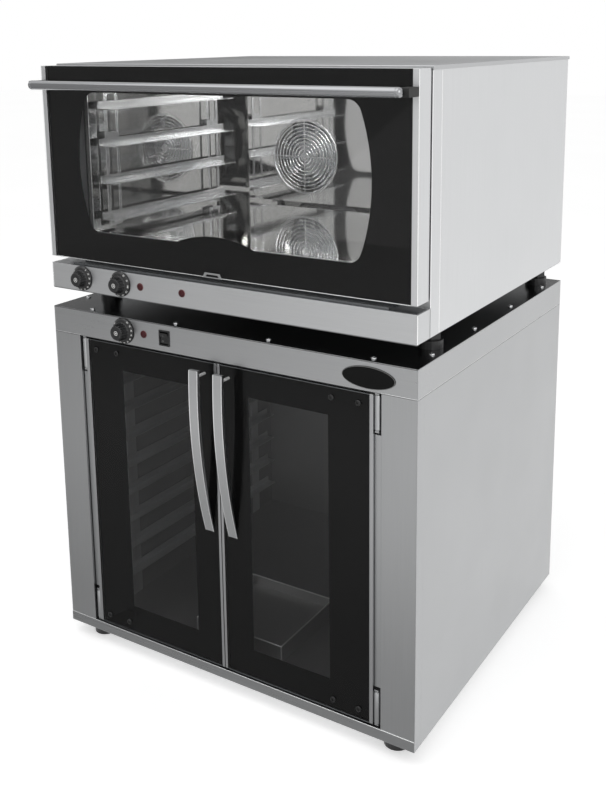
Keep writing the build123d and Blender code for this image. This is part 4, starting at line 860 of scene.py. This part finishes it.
# %% Printed borders
BAND_BELOW, BAND_ABOVE, BAND_MIDDLE, BAND_HINGE = 57.0, 56.0, 67.0, 93.0
PANE_NEAR, PANE_FAR = 1.0, 333.0
for hand, way in DOORS:
    node_name = hand + "_door_border"
    low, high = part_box(node_name)
    outer_x, outer_z = (low.x / MM, high.x / MM), (low.z / MM, high.z / MM)
    window_x = sorted((way * (PANE_NEAR + BAND_MIDDLE), way * (PANE_FAR - BAND_HINGE)))
    window_z = (outer_z[0] + BAND_BELOW, outer_z[1] - BAND_ABOVE)
    front, back = low.y / MM, high.y / MM
    bm = bmesh.new()
    rings = [[bm.verts.new(Vector((x[i], y, z[k])) * MM) for i, k in ((0, 0), (1, 0), (1, 1), (0, 1))]
             for x, z, y in ((outer_x, outer_z, front), (window_x, window_z, front),
                             (window_x, window_z, back), (outer_x, outer_z, back))]
    for one, two in zip(rings, rings[1:] + rings[:1]):
        walls(bm, one, two)
    border = put_in(hand + "_door_print", bm, print_black, hand + "_door")
    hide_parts(node_name)
    print(hand, "window", round(window_x[1] - window_x[0]), "by", round(window_z[1] - window_z[0]), "mm")

# %% Bright rim of the water pan
low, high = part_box("water_pan")
(left, front, foot), (right_end, back, head) = low / MM, high / MM
corners = [(left, front), (right_end, front), (right_end, back), (left, back)]
rim = [((*a, head), (*b, head)) for a, b in zip(corners, corners[1:] + corners[:1])]
# beads of the pale steel along the pan's rim: a painted highlight
edges("pan_rim", rim + [((*a, foot), (*a, head)) for a in corners[:2]], 1.3, steel_blasted_painted_highlight, "stack")

# %% [markdown]
# ## Base rail and gap strips
# A folded rail closes the cabinet at the bottom and runs under both posts. Its
# section is drawn once and drawn out along x. Between post and door a narrow
# return of the post fills the gap, and a gutter's flange lies on the panel.

# %% Rail, returns and flange
RAIL_HALF, RAIL_FOLD = 417.6, -345.6
bm = bmesh.new()
rail = [(-344.6, 28.2), (RAIL_FOLD, 28.2), (-346.0, 28.7), (-346.0, 47.3),
        (-345.9, 48.2), (-345.5, 48.9), (-344.6, 49.3)]
drawn_out(bm, rail, -RAIL_HALF, RAIL_HALF)
put_in("base_rail", bm, steel_rail, "stack")
# the rail's fold: a bead of the paler steel, a painted highlight
edges("base_rail_fold", [((-417.2, RAIL_FOLD, 48.9), (417.2, RAIL_FOLD, 48.9))], 0.6, steel_painted_highlight)

RETURN_X = (333.5, 347.3)
deep = [(-323.2, 50), (-323.2, 689), (-319.4, 689), (-319.4, 50)]
between_hinges = [(-338.4, 128), (-338.9, 128.6), (-338.9, 611.4), (-338.4, 612), (-322.8, 612), (-322.8, 128)]
bm = bmesh.new()
for way in (-1, 1):
    low_x, high_x = sorted(way * x for x in RETURN_X)
    drawn_out(bm, deep, low_x, high_x)
    drawn_out(bm, between_hinges, low_x, high_x)
put_in("post_returns", bm, steel_upright, "stack")

FLANGE_LEFT, FLANGE_RIGHT = -360.5, 412.5
flange = [(-343.2, 836.4), (-343.2, 837.3), (-342.8, 837.6), (-305.0, 837.6), (-305.0, 836.4)]
bm = bmesh.new()
drawn_out(bm, flange, FLANGE_LEFT, FLANGE_RIGHT)
# the flange in the darker steel: partly heat tint, partly painted shade of the gap under the oven door
put_in("gutter_flange", bm, steel_heat_tint_and_shade, "stack")
print("rail section", len(rail), "points")

# %% [markdown]
# ## Blank badge
# An oval plate sits on the right of the cabinet's fascia. It carries nothing
# but a pale grey line round its rim, a painted highlight for the light its edge
# catches. The line is a thin raised band, so it shows in the mesh as well as in
# the picture.

# %% Oval badge and its rim line
BADGE_AT = Vector((324.0, FRONT, 714.5))
BADGE_HALF, BADGE_SIDES = Vector((52.0, 20.0)), 72


def oval_stack(rows):
    """Stacks ovals, each (inset, height) in mm, into the walls of one plate or ring."""
    bm = bmesh.new()
    place = Matrix.Translation(BADGE_AT * MM) @ FACING_FRONT
    angles = [tau * i / BADGE_SIDES for i in range(BADGE_SIDES)]
    rings = []
    for inset, height in rows:
        half_x, half_y = BADGE_HALF.x - inset, BADGE_HALF.y - inset
        points = [Vector((half_x * cos(a), half_y * sin(a), height)) * MM for a in angles]
        rings.append([bm.verts.new(place @ point) for point in points])
    for one, two in zip(rings, rings[1:]):
        walls(bm, one, two)
    return bm, rings


bm, rings = oval_stack([(0.4, 0.0), (0.0, 0.3), (0.0, 1.0), (0.6, 1.5), (3.0, 1.7), (8.0, 1.8)])
bm.faces.new(rings[0])
bm.faces.new(rings[-1])
put_in("blank_badge", bm, print_black, "stack")
bm, rings = oval_stack([(0.5, 1.3), (0.5, 1.6), (1.2, 1.75), (1.2, 1.3), (0.5, 1.3)])
weld(bm, within_mm=0.005)
# the pale rim line: a painted highlight of the badge's edge
put_in("blank_badge_line", bm, print_grey_and_rim_highlight, "stack")
print("badge", BADGE_HALF.x * 2, "by", BADGE_HALF.y * 2, "mm")

# %% [markdown]
# ## Marks on the switch
# The rocker carries the usual bar and ring for on and off, printed in grey.

# %% Bar and ring
low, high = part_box("switch_rocker")
middle = (low + high) / 2 / MM
MARK_HIGH, MARK_APART = 5.0, 10.0
marks = []
for mark, way in (("I", 1), ("O", -1)):
    place = Vector((middle.x, low.y / MM - 0.1, middle.z + way * MARK_APART / 2)) * MM
    marks.append((lettering(mark, MARK_HIGH, 0.3), Matrix.Translation(place) @ FACING_FRONT))
put_in("switch_marks", joined(marks, "switch_marks"), print_grey_and_rim_highlight, "switch_rocker")

# %% [markdown]
# ## Floor and light
# The unit stands on a plain white floor in a white room of soft light. For the
# camera, and in mirrors and glass, floor and room show as even white; the rest
# of the light is plain and soft. Grey flags at the front left, on the floor
# before the unit and behind it, as in a real studio, give the steel something
# darker to mirror, so it keeps its tone and black glass stays black.

# %% White room
world = bpy.data.worlds.new("white_room")
bpy.context.scene.world = world
world.use_nodes = True
world.node_tree.nodes.clear()
tree = world.node_tree


def seen_directly(tree):
    """One where a ray comes from the camera, a mirror or glass, and none elsewhere."""
    path = add(tree, "ShaderNodeLightPath").outputs
    either = maths(tree, "MAXIMUM", path["Is Camera Ray"], path["Is Glossy Ray"])
    return maths(tree, "MAXIMUM", either, path["Is Transmission Ray"])


soft = add(tree, "ShaderNodeBackground", {"Color": WHITE, "Strength": 0.6})
white = add(tree, "ShaderNodeBackground", {"Color": WHITE, "Strength": 1.0})
room = add(tree, "ShaderNodeMixShader", {0: seen_directly(tree), 1: soft, 2: white})
add(tree, "ShaderNodeOutputWorld", {"Surface": room})

# %% Floor
floor_white, tree = blank_material("Floor paint matt white")
cloud = noise(tree, object_place(tree), 0.8)
paint = add(tree, "ShaderNodeMixRGB", {"Fac": cloud, "Color1": linear("#e6e6e6"), "Color2": linear("#ececec")})
matt = add(tree, "ShaderNodeBsdfDiffuse", {"Color": paint})
glow = add(tree, "ShaderNodeEmission", {"Color": WHITE, "Strength": 0.5})
both = add(tree, "ShaderNodeAddShader", {0: matt, 1: glow})
finished(floor_white, add(tree, "ShaderNodeMixShader", {0: seen_directly(tree), 1: matt, 2: both}))


def card(name, centre, facing, wide, high, material):
    """A flat sheet of the stage, square to the way it faces."""
    place = Matrix.Translation(Vector(centre)) @ pointed(facing)
    corners = [Vector((x * wide / 2, y * high / 2, 0)) for x, y in ((-1, -1), (1, -1), (1, 1), (-1, 1))]
    mesh = bpy.data.meshes.new(name)
    mesh.from_pydata([place @ corner for corner in corners], [], [(0, 1, 2, 3)])
    mesh.materials.append(material)
    sheet = bpy.data.objects.new(name, mesh)
    bpy.context.scene.collection.objects.link(sheet)
    return sheet


FLOOR_SIZE = 40
card("floor", (0, 0, 0), UPWARD, FLOOR_SIZE, FLOOR_SIZE, floor_white)
print("floor", FLOOR_SIZE, "m across")

# %% Grey flags
# the felt near the unit is darker: a painted shade of the unit on the floor
FADE_LONG = 1.1  # m, over which the felt near the unit goes from half its tone to the whole


def flag_felt(name, dark, dark_x, pale, pale_x, near_y=None):
    """Grey felt, as a glowing card: it goes from dark to pale along x, a painted raking light, and near the unit it
    is darker again, a painted shade of the unit.
    """
    material, tree = blank_material(name)
    along = add(tree, "ShaderNodeSeparateXYZ", {"Vector": object_place(tree)}).outputs
    tone = spread(tree, along["X"], (dark_x, pale_x), (dark, pale))
    if near_y is not None:
        painted_unit_shade = spread(tree, along["Y"], (near_y, near_y - FADE_LONG), (0.5, 1.0), interpolation_type="SMOOTHSTEP")
        tone = maths(tree, "MULTIPLY", tone, painted_unit_shade)
    return finished(material, add(tree, "ShaderNodeEmission", {"Color": WHITE, "Strength": tone}))


felt_front = flag_felt("Flag felt grey", 0.34, -5.0, 0.6, -2.2)
felt_floor = flag_felt("Floor felt grey", 0.42, -2.4, 0.88, 0.0, near_y=-0.4)
felt_back = flag_felt("Back felt grey", 0.2, -3.0, 0.2, 1.0)
flags = [
    card("flag_front_left", (-3.6, -3.2, 1.6), (0.78, 0.62, 0.0), 4.4, 4.4, felt_front),
    card("flag_on_floor", (-1.4, -2.38, 0.004), UPWARD, 4.8, 4.04, felt_floor),
    card("flag_behind", (-2.2, 4.2, 1.5), (0.45, -0.89, 0.0), 7.0, 3.0, felt_back),
]
for flag in flags:
    flag.visible_camera = flag.visible_diffuse = flag.visible_shadow = False
print("flags:", len(flags))

# %% Soft boxes
def soft_box(name, at, aim, wide, high, power):
    """A rectangular soft light at one point, aimed at another."""
    data = bpy.data.lights.new(name, "AREA")
    data.shape = "RECTANGLE"
    data.size, data.size_y = wide, high
    data.energy = power
    lamp = bpy.data.objects.new(name, data)
    bpy.context.scene.collection.objects.link(lamp)
    lamp.location = at
    lamp.rotation_mode = "QUATERNION"
    lamp.rotation_quaternion = (Vector(aim) - Vector(at)).to_track_quat("-Z", "Y")
    return lamp


soft_box("key_from_the_right", (2.6, -1.6, 2.4), (0, 0, 0.7), 2.0, 2.0, 18)
soft_box("fill_from_above", (-0.6, -1.2, 3.2), (0, 0, 0.6), 2.4, 2.4, 18)
# a strip under the front of the oven's ceiling and a panel under the cabinet's
# stand for all the light that comes in by the doors in a bright room
soft_box("oven_lamp", (0.0, -0.25, 1.188), (0.0, 0.05, 0.9), 0.6, 0.05, 4.4)
soft_box("cabinet_lamp", (0.0, -0.04, 0.684), (0.0, -0.04, 0.0), 0.6, 0.5, 18.0)
print("lights:", len(bpy.data.lights))
